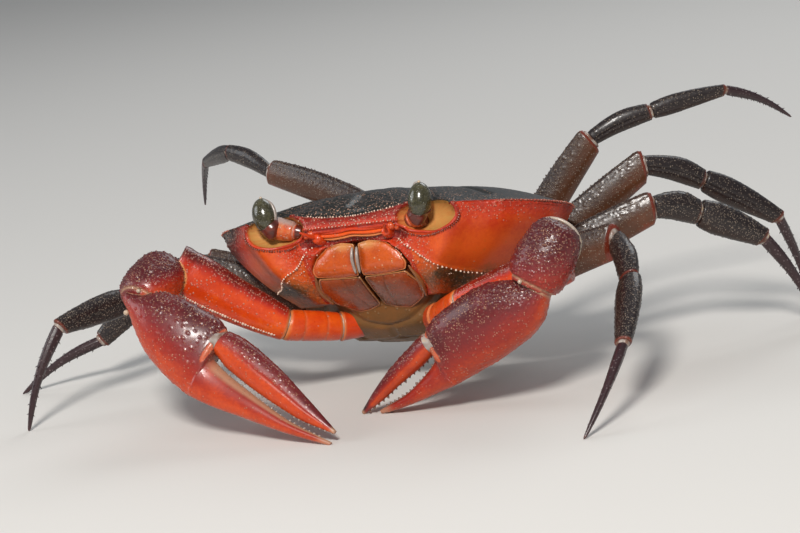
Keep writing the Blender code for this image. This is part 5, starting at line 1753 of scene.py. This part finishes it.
def build_finger(side):
    claw = CLAWS[side]
    first = claw["finger_top"][0][0]
    last = claw["finger_top"][-1][0]
    places = np.arange(first, last, CLAW_FACE_SIZE)
    grid = claw_blade(side, claw["finger_top"], claw["finger_bottom"], FINGER_THICKNESS, places, 150)
    axis, _, up = claw_frame(side)
    high = turn_height(grid, up)
    share = round_rings((places - first) / (last - first), 150)
    stretched = grid - np.multiply.outer((grid @ axis) * 0.35, axis)
    fine = granules(stretched, 0.0095, 121, share=0.75)
    upper = step_between(high, -0.3, 0.7)
    height = 0.0018 * fine * (0.2 + 0.8 * upper) * step_between(share, 0.9, 0.5)
    height -= 0.0012 * bump(high, 0.0, 0.10) * bump(share, 0.55, 0.3)
    height -= 0.0050 * step_between(share, 0.05, 0.0)
    tone = 0.92 - 0.56 * upper - 0.35 * step_between(share, 0.84, 0.93) * (side == "left")
    tone += blotches(grid, 0.03, 122, 0.10)
    grain = step_between(fine, 0.72, 0.95) * 0.45 * upper * step_between(share, 0.7, 0.2)
    grit = 0.65 * upper * step_between(share, 1.0, 0.5) + 0.1
    rim = 0.8 * step_between(share, 0.95, 0.99)
    node = f"claw_finger_{side}"
    add_piece(f"{node}_shell", above_floor(raised(grid, height)), "claw", tone, grain, rim, grit, node)
    places = np.linspace(first, first + COLLAR["length"], 20)
    collar = claw_blade(side, claw["finger_top"], claw["finger_bottom"], COLLAR["thickness"], places, 90,
                        COLLAR["rise"])
    tone = 0.52 + blotches(collar, 0.010, 123, 0.7)
    add_piece(f"claw_finger_skin_{side}", collar, "membrane", tone, 0.0, 0.0, 0.1)


# Cutting edges: the stretch of each finger that has teeth, their number, height and tones from root to tip
TEETH = {
    "left": {
        "palm": (0.335, 0.520), "finger": (0.335, 0.570), "count": 15, "height": 0.0085,
        "tones": (0.05, 0.60),
    },
    "right": {
        "palm": (0.285, 0.630), "finger": (0.290, 0.635), "count": 24, "height": 0.0060,
        "tones": (0.30, 0.80),
    },
}
TOOTH_RADIUS = 0.0058


def build_teeth(side):
    claw = CLAWS[side]
    teeth = TEETH[side]
    wrist = claw_points(side)[4]
    axis, out, up = claw_frame(side)
    for piece in ("palm", "finger"):
        line, sign = (claw["top"], 1) if piece == "palm" else (claw["finger_bottom"], -1)
        points = []
        normals = []
        for place in np.linspace(*teeth[piece], teeth["count"]):
            edge = steady_curve(line, [place])[0]
            points.append(wrist + axis * place + up * (edge - sign * 0.002))
            normals.append(unit(up * sign + out * 0.3))
        add_spines(f"claw_teeth_{piece}_{side}", points, normals, TOOTH_RADIUS, teeth["height"], "membrane",
                   *teeth["tones"])


# Soft skin in the arms' joints: the segment beyond each, and the skin's half sizes
ARM_JOINTS = [("ischium", (0.031, 0.008, 0.035)), ("merus", (0.032, 0.008, 0.037))]


def build_claws():
    for side in CLAWS:
        build_arm(side)
        build_carpus(side)
        build_palm(side)
        build_finger(side)
        build_teeth(side)
        for k, (segment, size) in enumerate(ARM_JOINTS):
            at = claw_points(side)[k]
            across = side_vector(CLAWS[side][segment][0])
            build_joint(f"claw_joint_{side}_{k + 1}", at, arm_faces(side)[k], across, size, 0.6)


# Studio

CAMERA = {"azimuth": 27.85, "elevation": 12.0, "roll": -7.0, "distance": 0.600, "focal_pixels": 2610.0}
PHOTO_SIZE = (800, 533)
BODY_PIXEL = (402, 217)

# Soft lights in metres and watts, all aimed at the crab: name, place, size, power and colour
LIGHTS = [
    ("key", (0.25, -0.75, 0.65), 0.20, 10.5, (1.0, 0.97, 0.93)),
    ("fill", (-0.80, -0.45, 0.45), 0.60, 3, (0.93, 0.97, 1.0)),
    ("back", (0.10, 0.70, 0.70), 0.60, 3, (0.95, 0.98, 1.0)),
]
LIGHT_AIM = (0, 0, 0.03)
FLOOR_HALF_WIDTH = 6.0


def build_camera():
    a, e, r = (math.radians(CAMERA[key]) for key in ("azimuth", "elevation", "roll"))
    back = np.array([math.sin(a) * math.cos(e), -math.cos(a) * math.cos(e), math.sin(e)])
    level = np.array([math.cos(a), math.sin(a), 0.0])
    above = np.cross(back, level)
    right = math.cos(r) * level + math.sin(r) * above
    up = -math.sin(r) * level + math.cos(r) * above
    scale = CAMERA["distance"] / CAMERA["focal_pixels"]
    x = (BODY_PIXEL[0] - PHOTO_SIZE[0] / 2) * scale
    y = (PHOTO_SIZE[1] / 2 - BODY_PIXEL[1]) * scale
    body = np.array([0, 0, BODY_HEIGHT]) + SHIFT
    position = body + back * CAMERA["distance"] - right * x - up * y
    data = bpy.data.cameras.new("camera")
    data.sensor_width = 36
    data.lens = CAMERA["focal_pixels"] * data.sensor_width / PHOTO_SIZE[0]
    data.clip_start = 0.01
    made = bpy.data.objects.new("camera", data)
    made.matrix_world = Matrix((
        (right[0], up[0], back[0], position[0]), (right[1], up[1], back[1], position[1]),
        (right[2], up[2], back[2], position[2]), (0, 0, 0, 1),
    ))
    bpy.context.scene.collection.objects.link(made)
    bpy.context.scene.camera = made


def add_light(name, place, size, power, colour):
    data = bpy.data.lights.new(name, "AREA")
    data.shape = "DISK"
    data.size = size
    data.energy = power
    data.color = colour
    made = bpy.data.objects.new(name, data)
    made.location = place
    made.rotation_euler = (Vector(place) - Vector(LIGHT_AIM)).to_track_quat("Z", "Y").to_euler()
    bpy.context.scene.collection.objects.link(made)


def build_studio():
    mesh = bpy.data.meshes.new("floor")
    half = FLOOR_HALF_WIDTH
    corners = [(-half, -half, 0), (half, -half, 0), (half, half, 0), (-half, half, 0)]
    mesh.from_pydata(corners, [], [(0, 1, 2, 3)])
    floor = bpy.data.objects.new("floor", mesh)
    pale = bpy.data.materials.new("pale_floor")
    pale.use_nodes = True
    shader = pale.node_tree.nodes["Principled BSDF"]
    shader.inputs["Base Color"].default_value = (0.62, 0.60, 0.57, 1)
    shader.inputs["Roughness"].default_value = 0.8
    mesh.materials.append(pale)
    bpy.context.scene.collection.objects.link(floor)
    world = bpy.data.worlds.new("studio")
    world.use_nodes = True
    background = world.node_tree.nodes["Background"]
    background.inputs["Color"].default_value = (0.86, 0.92, 1.0, 1)
    background.inputs["Strength"].default_value = 0.24
    bpy.context.scene.world = world
    bpy.context.scene.view_settings.view_transform = "Standard"
    for light in LIGHTS:
        add_light(*light)


build_carapace()
build_thorax()
build_abdomen()
build_mouth()
build_eyes()
build_feelers()
build_granule_rows()
build_margin_teeth()
build_claws()
build_legs()
build_camera()
build_studio()
